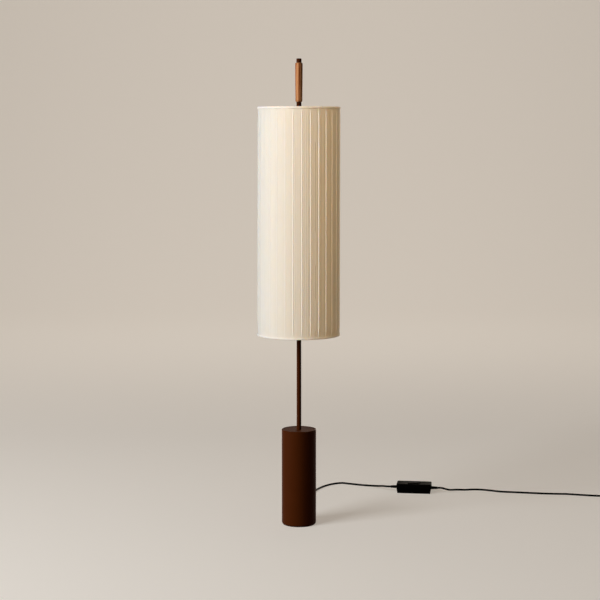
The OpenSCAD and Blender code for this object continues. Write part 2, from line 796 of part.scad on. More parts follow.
module ring(z) {
  color(wire_white) translate([0, 0, z]) rotate_extrude($fn = 96) translate([ring_r, 0])
    circle(d = ring_wire_d, $fn = 24);
}

module shade_top_ring() {
  ring(shade_top - ring_depth);
}

module shade_bottom_ring() {
  ring(shade_foot + ring_depth);
}

module at_struts(count) {
  for (i = [0 : count - 1]) rotate([0, 0, 90 + 360 * i / count]) children();
}

module shade_struts() {
  inset = ring_depth + ring_wire_d / 2;
  color(wire_white) at_struts(struts) translate([ring_r, 0, shade_foot + inset])
    cylinder(d = strut_wire_d, h = shade_h - 2 * inset, $fn = 24);
}

module shade_spider() {
  color(wire_white) difference() {
    union() {
      translate([0, 0, hub_z]) cylinder(d = hub_d, h = hub_t);
      at_struts(3) translate([0, 0, spider_z]) rotate([0, 90, 0])
        cylinder(d = min(spider_wire_d, hub_t - slip), h = ring_r - strut_wire_d / 2, $fn = 24);
    }
    translate([0, 0, hub_z - over]) cylinder(d = thread_hole_d, h = hub_t + 2 * over);
  }
}

// A folded tape over a ring: outer leg, web and inner leg
module hem() {
  outer = liner_r + slip;
  inner = ring_r - ring_wire_d / 2 - slip - tape_t;
  color(cotton) rotate_extrude($fn = 180) polygon([
    [inner, -hem_h], [inner + tape_t, -hem_h], [inner + tape_t, -tape_t], [outer, -tape_t],
    [outer, -hem_h], [hem_r, -hem_h], [hem_r, -tape_t], [hem_r - tape_t, 0], [inner, 0]]);
}

module shade_top_hem() {
  translate([0, 0, shade_top]) hem();
}

module shade_bottom_hem() {
  translate([0, 0, shade_foot]) mirror([0, 0, 1]) hem();
}

// Handle
function grip_radius(t) = grip_d / 2 - grip_taper / 2 * (1 - smooth_step(t * 1.25));

module handle_grip() {
  foot_r = grip_radius(0) - grip_end_r;
  top_r = grip_radius(1) - grip_end_r;
  outline = concat(
    [[thread_hole_d / 2, 0]],
    edge_arc(foot_r, grip_end_r, grip_end_r, -90),
    [for (i = [1 : 9]) [grip_radius(i / 10), grip_end_r + (grip_h - 2 * grip_end_r) * i / 10]],
    edge_arc(top_r, grip_h - grip_end_r, grip_end_r, 0),
    [[thread_hole_d / 2, grip_h]]);
  color(wood) translate([0, 0, grip_z]) rotate_extrude() polygon(outline);
}

module handle_cap() {
  r = cap_d / 2;
  outline = concat(
    [[thread_hole_d / 2, 0], [r - 0.4, 0], [r, 0.4]],
    edge_arc(r - cap_edge_r, cap_h - cap_edge_r, cap_edge_r, 0),
    [[0, cap_h], [0, cap_hole], [thread_hole_d / 2, cap_hole]]);
  color(bronze) translate([0, 0, cap_z]) rotate_extrude() polygon(outline);
}

// Cord and foot switch
module cord_run() {
  color(black_plastic) sweep(run_path, cord_d, cord_sides);
}

module cord_tail() {
  color(black_plastic) sweep(tail_path, cord_d, cord_sides);
}

module plug_lead() {
  color(black_plastic) sweep(plug_path, cord_d, cord_sides);
}

module cord_coil() {
  echo("least gap of the coil to itself", least_coil_gap);
  echo("cord lengths", path_length(run_path), path_length(tail_path), path_length(coil_path),
    path_length(plug_path));
  color(black_plastic) sweep(coil_path, cord_d, 6);
}

// A flat tie round the coil's turns
module coil_tie() {
  play = 1;
  low = coil_turn_r - cord_d / 2 - play;
  high = max(coil_start_r, coil_end_r) + cord_d / 2 + play;
  top = coil_z + coil_step + cord_d / 2 + slip;
  color(felt) translate([coil_at.x, coil_at.y, 0]) rotate([0, 0, 225]) difference() {
    translate([low - tie_t, -tie_w / 2, 0]) cube([high - low + 2 * tie_t, tie_w, top + tie_t]);
    translate([low, -tie_w / 2 - over, tie_t]) cube([high - low, tie_w + 2 * over, top - tie_t]);
  }
}

module at_switch() {
  translate(switch_at) rotate([0, 0, switch_turn]) children();
}

// The housing's outer form: its plan, side and end outlines cut each other
module case_form(shrink) {
  l = switch_l - 2 * shrink;
  w = switch_w - 2 * shrink;
  intersection() {
    linear_extrude(switch_h) rounded_plan(l, w, switch_corner_r - shrink);
    rotate([90, 0, 0]) translate([0, 0, -w]) linear_extrude(2 * w) case_side(l, shrink);
    rotate([90, 0, 90]) translate([0, 0, -l]) linear_extrude(2 * l) case_side(w, shrink);
  }
}

module case_side(width, shrink) {
  r = switch_edge_r;
  top = switch_h - shrink;
  polygon([
    [-width / 2 + draft, shrink], [width / 2 - draft, shrink], [width / 2, split_z], [width / 2, top - r],
    [width / 2 - r, top - r], [width / 2 - r, top], [-width / 2 + r, top], [-width / 2 + r, top - r],
    [-width / 2, top - r], [-width / 2, split_z]]);
  for (x = [-1, 1]) translate([x * (width / 2 - r), top - r]) circle(r = r);
}

module at_posts() {
  for (x = [-1, 1], y = [-1, 1]) translate([x * post_x, y * post_y, 0]) children();
}

module case_shell() {
  difference() {
    case_form(0);
    case_form(switch_wall);
    for (x = [-1, 1]) translate([0, 0, split_z]) rotate([0, x * 90, 0])
      cylinder(d = relief_root_d, h = switch_l);
  }
}

module switch_lower_case() {
  color(black_plastic) at_switch() difference() {
    union() {
      intersection() {
        case_shell();
        translate([-switch_l, -switch_w, 0]) cube([2 * switch_l, 2 * switch_w, split_z]);
      }
      at_posts() cylinder(d = post_d, h = split_z);
    }
    at_posts() translate([0, 0, -over]) {
      cylinder(d = case_screw_d + 2 * slip, h = split_z + 2 * over);
      cylinder(d = case_screw_head_d + 2 * slip, h = over + case_head_top + slip);
    }
  }
}

module switch_upper_case() {
  color(black_plastic) at_switch() difference() {
    union() {
      intersection() {
        case_shell();
        translate([-switch_l, -switch_w, split_z]) cube([2 * switch_l, 2 * switch_w, switch_h]);
      }
      at_posts() translate([0, 0, split_z]) cylinder(d = post_d, h = lid_under - split_z + slip);
    }
    at_posts() translate([0, 0, split_z - over])
      cylinder(d = case_screw_d + 2 * slip, h = over + case_screw_hold + 1);
    linear_extrude(switch_h + over)
      rounded_plan(button_l + 2 * move_gap, button_w + 2 * move_gap, button_corner_r + move_gap);
  }
}

module switch_screws() {
  color(steel) at_switch() at_posts() difference() {
    union() {
      translate([0, 0, case_head_top - case_screw_head_t])
        cylinder(d = case_screw_head_d, h = case_screw_head_t);
      translate([0, 0, case_head_top - over])
        cylinder(d = case_screw_d, h = split_z + case_screw_hold - case_head_top + over);
    }
    translate([-case_screw_head_d / 2, -0.4, 0])
      cube([case_screw_head_d, 0.8, case_head_top - 2 * case_screw_head_t / 3]);
  }
}

module switch_block() {
  color(liner_white) at_switch() difference() {
    translate([-block_l / 2, -block_w / 2, switch_wall]) cube([block_l, block_w, block_h - switch_wall]);
    translate([0, 0, plunger_hole_foot]) cylinder(d = plunger_d + 2 * move_gap, h = block_h);
  }
}

module switch_leads() {
  length = switch_l / 2 - relief_seat - block_l / 2;
  color(copper) at_switch() for (x = [-1, 1]) translate([0, 0, split_z - core_d / 2])
    rotate([0, x * 90, 0]) translate([0, 0, block_l / 2]) cylinder(d = core_d, h = length);
}

// The relief through the wall, with a collar on each side of it
module switch_relief(side) {
  inner = switch_l / 2 - relief_seat;
  color(black_plastic) at_switch() translate([0, 0, split_z]) rotate([0, side * 90, 0]) difference() {
    union() {
      translate([0, 0, inner]) cylinder(d = relief_root_d - 2 * slip, h = relief_seat);
      translate([0, 0, inner]) cylinder(d = relief_root_d + 2, h = relief_seat - switch_wall - draft);
      translate([0, 0, switch_l / 2]) relief(switch_relief_l);
    }
    translate([0, 0, inner + 2]) cylinder(d = cord_bore, h = relief_seat + switch_relief_l);
  }
}

module switch_inlet_relief() {
  switch_relief(-1);
}

module switch_outlet_relief() {
  switch_relief(1);
}

module foot_button() {
  color(black_plastic) at_switch() difference() {
    union() {
      translate([0, 0, button_foot]) linear_extrude(button_flange_t)
        rounded_plan(button_l + 4, button_w + 4, button_corner_r + 2);
      translate([0, 0, button_foot]) linear_extrude(switch_h + button_rise - button_foot)
        rounded_plan(button_l, button_w, button_corner_r);
      translate([0, 0, boss_foot]) cylinder(d = plunger_d + 5, h = button_foot - boss_foot + 1);
    }
    translate([0, 0, boss_foot - over]) cylinder(d = plunger_d + 2 * slip, h = over + 2);
  }
}

module button_plunger() {
  color(nickel) at_switch() translate([0, 0, plunger_foot])
    cylinder(d = plunger_d, h = boss_foot + 2 - plunger_foot);
}

// Plug, drawn with its pins along +X from its relief's tip, then laid along -Y
module at_plug() {
  translate(plug_tip) rotate([0, 0, -90]) children();
}

module plug_body() {
  back = relief_l;
  face = relief_l + plug_l;
  half_w = plug_w / 2;
  half_t = plug_t / 2;
  color(black_plastic) at_plug() difference() {
    union() {
      intersection() {
        translate([0, 0, -half_t]) linear_extrude(plug_t) polygon([
          [back, -6], [back + 5, -7.5], [face - 16, -half_w + 3], [face - 11, -half_w], [face, -half_w],
          [face, half_w], [face - 11, half_w], [face - 16, half_w - 3], [back + 5, 7.5], [back, 6]]);
        rotate([90, 0, 0]) translate([0, 0, -plug_w]) linear_extrude(2 * plug_w) polygon([
          [back, -5.7], [face - 14, -half_t], [face, -half_t], [face, half_t], [face - 14, half_t],
          [back, 5.7]]);
        rotate([90, 0, 90]) linear_extrude(face + over) polygon([
          [-half_w, 0], [-half_w + 4.6, -half_t], [half_w - 4.6, -half_t], [half_w, 0],
          [half_w - 4.6, half_t], [-half_w + 4.6, half_t]]);
      }
      translate([back, 0, 0]) rotate([0, -90, 0]) relief(relief_l);
    }
    for (y = [-1, 1]) translate([face - pin_hold, y * pin_gap / 2, 0]) rotate([0, 90, 0])
      cylinder(d = pin_root_d, h = pin_hold + over);
    rotate([0, 90, 0]) cylinder(d = cord_bore, h = relief_l - 4);
  }
}

module plug_pins() {
  face = relief_l + plug_l;
  color(nickel) at_plug() for (y = [-1, 1]) translate([face - pin_hold, y * pin_gap / 2, 0])
    rotate([0, 90, 0]) {
      cylinder(d = pin_root_d, h = pin_hold);
      translate([0, 0, pin_hold]) cylinder(d = pin_d, h = pin_l - pin_tip);
      translate([0, 0, pin_hold + pin_l - pin_tip])
        cylinder(d1 = pin_d, d2 = pin_d - 1.4 * pin_tip, h = pin_tip);
    }
}

foot_pad();
bottom_plate();
bottom_plate_screws();
base_weight();
base_drum();
tie_rod();
rod_nut();
rod_washer();
spacer_tube();
cord_gland();
gland_nut();
inner_lead();
stem_tube();
stem_foot_bush();
stem_top_bush();
handle_stud();
seat_washer();
handle_ferrule();
lower_arm();
upper_arm();
arm_grub_screws();
arm_leads();
lower_lampholder();
upper_lampholder();
lower_bulb_cap();
lower_bulb_glass();
upper_bulb_cap();
upper_bulb_glass();
shade_cover();
shade_liner();
shade_top_ring();
shade_bottom_ring();
shade_struts();
shade_spider();
shade_top_hem();
shade_bottom_hem();
handle_grip();
handle_cap();
cord_run();
switch_lower_case();
switch_upper_case();
switch_block();
switch_leads();
switch_screws();
switch_inlet_relief();
switch_outlet_relief();
foot_button();
button_plunger();
cord_tail();
cord_coil();
coil_tie();
plug_lead();
plug_body();
plug_pins();
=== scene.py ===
"""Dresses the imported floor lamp: pleated shade, oiled grip, painted base and stem, foot switch and cord.

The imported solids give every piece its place. The surfaces made here are worked out with numpy, in the
lamp's own frame: +Z is up, the front faces -Y and the floor lies at Z 0. The lamp's sizes are in
millimetres and degrees, the meshes and the room in metres.
"""

import json
import logging
import math
from dataclasses import dataclass, field
from enum import Enum

import bpy
import numpy as np
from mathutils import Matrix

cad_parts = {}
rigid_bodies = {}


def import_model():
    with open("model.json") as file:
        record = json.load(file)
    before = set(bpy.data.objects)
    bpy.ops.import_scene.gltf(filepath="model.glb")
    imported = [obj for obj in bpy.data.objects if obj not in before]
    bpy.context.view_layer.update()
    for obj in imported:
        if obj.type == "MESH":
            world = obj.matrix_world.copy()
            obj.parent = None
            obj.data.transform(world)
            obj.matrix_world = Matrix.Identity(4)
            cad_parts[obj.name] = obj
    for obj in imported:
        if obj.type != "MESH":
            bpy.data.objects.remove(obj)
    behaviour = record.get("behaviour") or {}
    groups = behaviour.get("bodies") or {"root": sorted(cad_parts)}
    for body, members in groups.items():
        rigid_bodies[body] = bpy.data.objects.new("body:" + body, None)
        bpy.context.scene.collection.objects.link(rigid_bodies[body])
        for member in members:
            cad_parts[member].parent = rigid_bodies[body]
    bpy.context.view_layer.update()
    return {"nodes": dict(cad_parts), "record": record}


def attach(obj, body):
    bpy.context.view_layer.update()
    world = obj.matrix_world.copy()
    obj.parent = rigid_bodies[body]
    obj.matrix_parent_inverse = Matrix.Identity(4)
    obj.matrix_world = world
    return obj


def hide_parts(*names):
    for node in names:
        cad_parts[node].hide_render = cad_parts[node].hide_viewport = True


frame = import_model()
log = logging.getLogger("floor_lamp")

MM = 0.001
Colour = tuple[float, float, float]
Point = tuple[float, float, float]
Pair = tuple[float, float]
Array = np.ndarray
Thing = bpy.types.Object


class Wire:
    """One output of a shader node, with the operators that the finishes write on it."""

    def __init__(self, recipe: "Recipe", socket: bpy.types.NodeSocket) -> None:
        """Keeps the output and the recipe that it belongs to."""
        self.recipe = recipe
        self.socket = socket

    def other(self, name: str) -> "Wire":
        """Another output of the same node."""
        return Wire(self.recipe, self.socket.node.outputs[name])

    def maths(self, operation: str, *values: "Wire | float") -> "Wire":
        """A Math node on plain numbers and wires."""
        return self.recipe.node("ShaderNodeMath", dict(enumerate(values)), operation=operation)

    def __add__(self, value: "Wire | float") -> "Wire":
        """The sum."""
        return self.maths("ADD", self, value)

    __radd__ = __add__

    def __sub__(self, value: "Wire | float") -> "Wire":
        """The difference."""
        return self.maths("SUBTRACT", self, value)

    def __rsub__(self, value: float) -> "Wire":
        """A number less this wire."""
        return self.maths("SUBTRACT", value, self)

    def __mul__(self, value: "Wire | float") -> "Wire":
        """The product."""
        return self.maths("MULTIPLY", self, value)

    __rmul__ = __mul__

    def sine(self) -> "Wire":
        """The sine of an angle in radians."""
        return self.maths("SINE", self)

    def smooth(self, low: float, high: float) -> "Wire":
        """0 under low, 1 over high, and a smooth step between them."""
        return self.recipe.node("ShaderNodeMapRange", {"Value": self, "From Min": low, "From Max": high},
                                interpolation_type="SMOOTHSTEP")


class Recipe:
    """The node tree of one finish, or of the room's light."""

    def __init__(self, owner: "bpy.types.Material | bpy.types.World") -> None:
        """Starts an empty tree.

        Args:
            owner: the material or world that the tree belongs to.
        """
        owner.use_nodes = True
        self.tree = owner.node_tree
        self.tree.nodes.clear()

    def node(self, kind: str, into: dict[str | int, Wire | float | tuple] | None = None,
             out: str | int = 0, **settings: object) -> Wire:
        """Adds a node.

        Args:
            kind: the node's type.
            into: numbers, colours or wires by socket.
            out: the output that is handed back.
            settings: the node's own settings, which are set first.

        Returns:
            The chosen output.
        """
        made = self.tree.nodes.new(kind)
        for key, value in settings.items():
            setattr(made, key, value)
        for key, value in (into or {}).items():
            if isinstance(value, Wire):
                self.tree.links.new(value.socket, made.inputs[key])
            else:
                made.inputs[key].default_value = value
        return Wire(self, made.outputs[out])

    def place(self, kind: str = "Object") -> Wire:
        """Where a point lies: in the lamp's frame (Object) or on the piece's own map (UV)."""
        return self.node("ShaderNodeTexCoord", out=kind)

    def part(self, place: Wire, axis: str = "X") -> Wire:
        """A place's distance along one axis. Its other() gives those along the other two."""
        return self.node("ShaderNodeSeparateXYZ", {"Vector": place}, out=axis)

    def noise(self, place: Wire, scale: float | Point, detail: float = 2.0, roughness: float = 0.5) -> Wire:
        """Soft noise.

        Args:
            place: where the noise is read.
            scale: its lumps a metre, or its lumps a metre along each axis.
            detail: how many finer noises come on top.
            roughness: how strong those are.

        Returns:
            A value from 0 to 1.
        """
        if isinstance(scale, tuple):
            place, scale = self.node("ShaderNodeVectorMath", {0: place, 1: scale}, operation="MULTIPLY"), 1.0
        return self.node("ShaderNodeTexNoise", {
            "Vector": place, "Scale": scale, "Detail": detail, "Roughness": roughness})

    def blend(self, share: Wire | float, a: Wire | Colour, b: Wire | Colour) -> Wire:
        """Colour a where share is 0 and colour b where it is 1."""
        full = [value if isinstance(value, Wire) else (*value, 1.0) for value in (a, b)]
        return self.node("ShaderNodeMix", {0: share, 6: full[0], 7: full[1]}, out=2, data_type="RGBA")

    def bump(self, height: Wire, depth: float) -> Wire:
        """The normal of a surface that rises by height times depth, in metres."""
        return self.node("ShaderNodeBump", {"Height": height, "Distance": depth, "Strength": 1.0})

    def shade(self, fixed: tuple[tuple[str, float | tuple], ...], **varied: Wire | float | Colour) -> None:
        """Ends the tree in a Principled shader.

        Args:
            fixed: sockets and numbers that are the same all over.
            varied: base_color, roughness, metallic, emission_color or normal.
        """
        into: dict[str | int, Wire | float | tuple] = dict(fixed)
        for key, value in varied.items():
            name = key.replace("_", " ").title()
            into[name] = (*value, 1.0) if isinstance(value, tuple) else value
        self.finish(self.node("ShaderNodeBsdfPrincipled", into))

    def seen(self) -> Wire:
        """1 for rays that the camera, a reflection or glass sends out, and 0 for light that bounces."""
        path = self.node("ShaderNodeLightPath", out="Is Camera Ray")
        return path + path.other("Is Glossy Ray") + path.other("Is Transmission Ray")

    def finish(self, surface: Wire, kind: str = "Material") -> None:
        """Joins a shader to the output of a material or a world."""
        end = self.tree.nodes.new(f"ShaderNodeOutput{kind}")
        self.tree.links.new(surface.socket, end.inputs["Surface"])


@dataclass(frozen=True)
class Finish:
    """A surface's plain numbers. Its grain is in lumps a metre and its depth in metres, and its tone
    is the share by which the colour strays."""

    colour: Colour
    roughness: float = 0.5
    metallic: float = 0.0
    grain: float = 900.0
    depth: float = 0.00002
    tone: float = 0.08
    specular: float = 0.5
    fixed: tuple[tuple[str, float | tuple], ...] = ()

    def shaded(self, factor: float) -> Colour:
        """The finish's colour, darker or lighter."""
        return tuple(min(1.0, part * factor) for part in self.colour)

    def clouded(self, recipe: Recipe, share: Wire) -> Wire:
        """The darker tone of the colour where share is 0, and the lighter one where it is 1."""
        return recipe.blend(share, self.shaded(1 - self.tone), self.shaded(1 + self.tone))

    def end(self, recipe: Recipe, **varied: Wire | float | Colour) -> None:
        """Ends the tree with what varies and with the finish's own fixed numbers."""
        recipe.shade((("Specular IOR Level", self.specular), *self.fixed), **varied)

    def draw(self, recipe: Recipe) -> None:
        """Fine grain in the height, and slow clouds in tone and gloss.

        Args:
            recipe: the finish's empty tree.
        """
        place = recipe.place()
        fine = recipe.noise(place, self.grain)
        cloud = recipe.noise(place, 22.0, 3.0)
        self.end(recipe, base_color=self.clouded(recipe, cloud), metallic=self.metallic,
                 roughness=self.roughness + (cloud - 0.5) * 0.12 + (fine - 0.5) * 0.08,
                 normal=recipe.bump(fine, self.depth))

    def material(self, name: str) -> bpy.types.Material:
        """Makes the finish as a Blender material.

        Args:
            name: the material's name.

        Returns:
            The material.
        """
        made = bpy.data.materials.new(name)
        self.draw(Recipe(made))
        return made


@dataclass(frozen=True)
class Woven(Finish):
    """Plain-woven cloth on the piece's own map, which is in metres."""

    thread: float = 0.00045
    weave: float = 0.00006
    # How dark the painted shade in a crease is, and the share of the colour's distance from white that a
    # crest's painted highlight keeps
    fold_tone: float = 0.9
    crest_tone: float = 0.4

    def draw(self, recipe: Recipe) -> None:
        """Threads cross as the product of two sines, one along the map and one across it. The piece's painted
        fold shading paints shade into a crease, darker and warmer, and below 0 it paints a paler highlight on
        a crest.

        Args:
            recipe: the finish's empty tree.
        """
        place = recipe.place("UV")
        along = recipe.part(place)
        turn = 2 * math.pi / self.thread
        threads = (along * turn).sine() * (along.other("Y") * turn).sine()
        slub = recipe.noise(place, (260.0, 30.0, 1.0), 3.0)
        # The piece's painted fold shading: painted shade above 0, a painted highlight below 0
        depth = recipe.node("ShaderNodeAttribute", out="Fac", attribute_name="fold_shade_and_highlight")
        painted_fold_shading = tuple(part * self.fold_tone ** (1 + 0.7 * n) for n, part in enumerate(self.colour))
        crest = tuple(1 - (1 - part) * self.crest_tone for part in self.colour)
        crease_shaded = recipe.blend(depth, self.clouded(recipe, slub), painted_fold_shading)
        self.end(recipe, base_color=recipe.blend(depth * -1, crease_shaded, crest),
                 roughness=self.roughness + (slub - 0.5) * 0.1,
                 normal=recipe.bump(threads * 0.5 + slub * 0.6, self.weave))


@dataclass(frozen=True)
class Felted(Finish):
    """Pressed felt: short fibres that lie every way."""

    depth: float = 0.0003

    def draw(self, recipe: Recipe) -> None:
        """Two noises at right angles, each drawn out one way, make the fibres.

        Args:
            recipe: the finish's empty tree.
        """
        place = recipe.place()
        one = recipe.noise(place, (300.0, 1600.0, 900.0))
        two = recipe.noise(place, (1600.0, 300.0, 900.0))
        fibres = one * 0.5 + two * 0.5
        self.end(recipe, base_color=recipe.blend(fibres, self.shaded(0.6), self.shaded(1.5)),
                 roughness=self.roughness + (fibres - 0.5) * 0.1, normal=recipe.bump(fibres, self.depth))


@dataclass(frozen=True)
class Turned(Finish):
    """Bare metal with the fine rings of a lathe or a brush round its axis."""

    metallic: float = 1.0
    depth: float = 0.00001
    ring: Point = (60.0, 60.0, 5200.0)

    def draw(self, recipe: Recipe) -> None:
        """Noise drawn out across the ring direction makes the rings.

        Args:
            recipe: the finish's empty tree.
        """
        place = recipe.place()
        rings = recipe.noise(place, self.ring)
        cloud = recipe.noise(place, 60.0)
        self.end(recipe, base_color=self.clouded(recipe, rings * 0.6 + cloud * 0.4), metallic=self.metallic,
                 roughness=self.roughness + (rings - 0.5) * 0.16 + (cloud - 0.5) * 0.1,
                 normal=recipe.bump(rings, self.depth))


@dataclass(frozen=True)
class OiledWood(Finish):
    """Turned and oiled wood with its grain along the height."""

    depth: float = 0.00008
    # The pale early wood is also a painted highlight and the dark late wood also painted shade; ring is the
    # rings' spacing in metres, and phase sets where they fall across the front
    light: Colour = (0.72, 0.33, 0.135)
    dark: Colour = (0.25, 0.05, 0.007)
    ring: float = 0.0105
    phase: float = 0.97

    def draw(self, recipe: Recipe) -> None:
        """Year rings are a sine across the board, which slow noise bends. Thin dark pores run along. Laid
        across X, the rings put a pale ring on the grip's lit left and a dark one just right of the middle,
        where it turns into shade: real grain that also carries a painted highlight and painted shade.

        Args:
            recipe: the finish's empty tree.
        """
        place = recipe.place()
        bend = recipe.noise(place, (60.0, 60.0, 12.0), 3.0)
        streaks = recipe.noise(place, (520.0, 520.0, 14.0), 3.0, 0.6)
        pores = recipe.noise(place, (1500.0, 1500.0, 70.0))
        across = recipe.part(place) * (2 * math.pi / self.ring)
        rings = (across + (bend - 0.5) * 2.4 + self.phase).sine()
        early_wood_and_highlight = recipe.blend(rings.smooth(-0.9, 0.6), self.light, self.colour)
        late_wood_and_shade = recipe.blend((rings + (streaks - 0.5) * 1.2).smooth(0.65, 1.0), early_wood_and_highlight, self.dark)
        line = pores.smooth(0.60, 0.72)
        share = line * 0.6 + streaks.smooth(0.55, 0.75) * 0.3
        self.end(recipe, base_color=recipe.blend(share, late_wood_and_shade, self.dark),
                 roughness=self.roughness + (streaks - 0.5) * 0.2 + line * 0.12,
                 normal=recipe.bump(streaks * 0.5 - line, self.depth))


class Look(Enum):
    """The lamp's finishes. A member's name in small letters is the material slot in the record."""

    BRONZE_PAINT = Finish((0.070, 0.0150, 0.0023), 0.46, grain=1100, depth=0.000012, tone=0.07,
                          specular=0.025)
    CAST_WEIGHT = Finish((0.05, 0.05, 0.052), 0.75, metallic=0.4, grain=500, depth=0.0004, tone=0.2)
    PLAIN_STEEL = Turned((0.5, 0.5, 0.49), 0.38)
    BRASS = Turned((0.62, 0.43, 0.17), 0.32)
    FELT = Felted((0.010, 0.008, 0.007), 0.95, specular=0.03)
    BLACK_CORD = Finish((0.0025, 0.0022, 0.0018), 0.55, grain=2400, depth=0.00001, tone=0.1, specular=0.03)
    CORE_SHEATH = Finish((0.25, 0.09, 0.03), 0.4, grain=2000, depth=0.00001)
    BLACK_PLASTIC = Finish((0.0028, 0.0024, 0.0018), 0.72, grain=2200, depth=0.00003, tone=0.12,
                           specular=0.004)
    WHITE_PLASTIC = Finish((0.8, 0.79, 0.75), 0.28, grain=1600, depth=0.00001, tone=0.03)
    BULB_CAP = Turned((0.72, 0.72, 0.72), 0.35, depth=0.00002, tone=0.06)
    BULB_GLASS = Finish((0.9, 0.89, 0.85), 0.3, grain=1400, depth=0.000006, tone=0.02,
                        fixed=(("Coat Weight", 0.5), ("Coat Roughness", 0.08)))
    CLOTH = Woven((0.812, 0.784, 0.705), 0.88, tone=0.02, specular=0.2, fixed=(
        ("Sheen Weight", 0.08), ("Subsurface Weight", 0.4), ("Subsurface Radius", (1.0, 0.8, 0.6)),
        ("Subsurface Scale", 0.0005)))
    LINER = Finish((0.86, 0.84, 0.79), 0.6, grain=1200, depth=0.00003, tone=0.02)
    WHITE_WIRE = Finish((0.8, 0.78, 0.72), 0.4, grain=1300, depth=0.00004, tone=0.04)
    OAK = OiledWood((0.58, 0.21, 0.068), specular=0.1)
    PIN_METAL = Turned((0.7, 0.68, 0.62), 0.22, depth=0.000006, tone=0.05)


MATERIALS: dict[Look, bpy.types.Material] = {
    look: look.value.material(f"{look.name.lower()}_finish") for look in Look}


def into_scene(name: str, data: bpy.types.ID) -> Thing:
    """Puts a mesh, a camera or a lamp into the scene.

    Args:
        name: the new object's name.
        data: what it is made of.

    Returns:
        The object.
    """
    made = bpy.data.objects.new(name, data)
    bpy.context.scene.collection.objects.link(made)
    return made


def run_lengths(line: Array, closed: bool) -> Array:
    """Distance along a line at each of its points, and back at the first where it is closed."""
    whole = np.vstack([line, line[:1]]) if closed else line
    return np.concatenate([[0.0], np.cumsum(np.linalg.norm(np.diff(whole, axis=0), axis=1))])


def smooth_step(t: Array) -> Array:
    """0 below 0, 1 above 1, and 3t squared less 2t cubed between them."""
    t = np.clip(t, 0.0, 1.0)
    return t * t * (3 - 2 * t)


def full_turn(count: int) -> Array:
    """Evenly spaced angles round a full turn, in radians."""
    return np.arange(count) * 2 * np.pi / count


def level(degrees: float) -> Array:
    """The level unit direction at this angle from +X."""
    return np.array([math.cos(math.radians(degrees)), math.sin(math.radians(degrees)), 0.0])


def lifted(plans: Array, heights: Array) -> Array:
    """Flat outlines in millimetres, one a row, each at its height: points in metres."""
    return np.concatenate([plans, np.broadcast_to(heights[:, None, None], (*plans.shape[:2], 1))], -1) * MM


@dataclass
class Skin:
    """A surface before it becomes a mesh: points, faces one after the other, and a map in metres."""

    points: Array
    corners: Array
    sizes: Array
    uv: Array

    @classmethod
    def net(cls, points: Array, closed_v: bool = False, capped: bool = False) -> "Skin":
        """A grid of quads that closes round its columns.

        Args:
            points: (rows, columns, 3). Columns run round the piece and rows along it, so that
                column direction times row direction points outwards.
            closed_v: whether the last row meets the first.
            capped: whether one flat face closes the first row, and one the last.

        Returns:
            The surface, mapped by the lengths of its middle row and first column.
        """
        rows, columns = points.shape[:2]
        u, v = np.meshgrid(np.arange(columns), np.arange(rows if closed_v else rows - 1))
        across, up = (u + 1) % columns, (v + 1) % rows
        quads = np.stack([v * columns + u, v * columns + across, up * columns + across, up * columns + u], -1)
        u_at, v_at = run_lengths(points[rows // 2], True), run_lengths(points[:, 0], closed_v)
        uv = np.stack([np.stack([u_at[u], u_at[u + 1], u_at[u + 1], u_at[u]], -1),
                       np.stack([v_at[v], v_at[v], v_at[v + 1], v_at[v + 1]], -1)], -1)
        skin = cls(points.reshape(-1, 3), quads.ravel(), np.full(quads.size // 4, 4), uv.reshape(-1, 2))
        for first, order in ((0, -1), ((rows - 1) * columns, 1)) if capped else ():
            ring = (first + np.arange(columns))[::order]
            skin = Skin(skin.points, np.concatenate([skin.corners, ring]), np.append(skin.sizes, columns),
                        np.vstack([skin.uv, skin.points[ring][:, :2]]))
        return skin

    def __add__(self, other: "Skin") -> "Skin":
        """Joins two surfaces.

        Args:
            other: the surface whose points and faces come after this one's.

        Returns:
            Both in one.
        """
        return Skin(np.vstack([self.points, other.points]),
                    np.concatenate([self.corners, other.corners + len(self.points)]),
                    np.concatenate([self.sizes, other.sizes]), np.vstack([self.uv, other.uv]))

    def laid(self, origin: Array | Point, *axes: Array | Point) -> "Skin":
        """The surface with its own X, Y and Z laid along three unit directions from an origin."""
        turned = self.points @ np.array(axes, float) + np.array(origin, float)
        return Skin(turned, self.corners, self.sizes, self.uv)

    def piece(self, name: str, look: Look, body: str, replaces: tuple[str, ...],
              crease: float = 38.0, marks: Array | None = None) -> Thing:
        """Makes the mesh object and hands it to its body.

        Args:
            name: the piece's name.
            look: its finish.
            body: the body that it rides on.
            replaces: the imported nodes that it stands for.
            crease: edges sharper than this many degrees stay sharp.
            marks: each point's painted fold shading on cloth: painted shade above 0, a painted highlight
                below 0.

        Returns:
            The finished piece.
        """
        mesh = bpy.data.meshes.new(name)
        starts = np.concatenate([[0], np.cumsum(self.sizes)[:-1]])
        mesh.vertices.add(len(self.points))
        mesh.vertices.foreach_set("co", self.points.astype(np.float32).ravel())
        mesh.loops.add(len(self.corners))
        mesh.loops.foreach_set("vertex_index", self.corners.astype(np.int32))
        mesh.polygons.add(len(self.sizes))
        mesh.polygons.foreach_set("loop_start", starts.astype(np.int32))
        mesh.polygons.foreach_set("use_smooth", np.ones(len(self.sizes), bool))
        mesh.uv_layers.new(name="metres").data.foreach_set("uv", self.uv.astype(np.float32).ravel())
        mesh.update(calc_edges=True)
        mesh.validate()
        mesh.set_sharp_from_angle(angle=math.radians(crease))
        if marks is not None:
            # The painted fold shading, for the cloth's finish to read
            depth = mesh.attributes.new("fold_shade_and_highlight", "FLOAT", "POINT")
            depth.data.foreach_set("value", marks.astype(np.float32))
        mesh.materials.append(MATERIALS[look])
        made = into_scene(name, mesh)
        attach(made, body)
        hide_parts(*replaces)
        log.info("piece %s: %d faces, in place of %s", name, len(self.sizes), ", ".join(replaces))
        return made


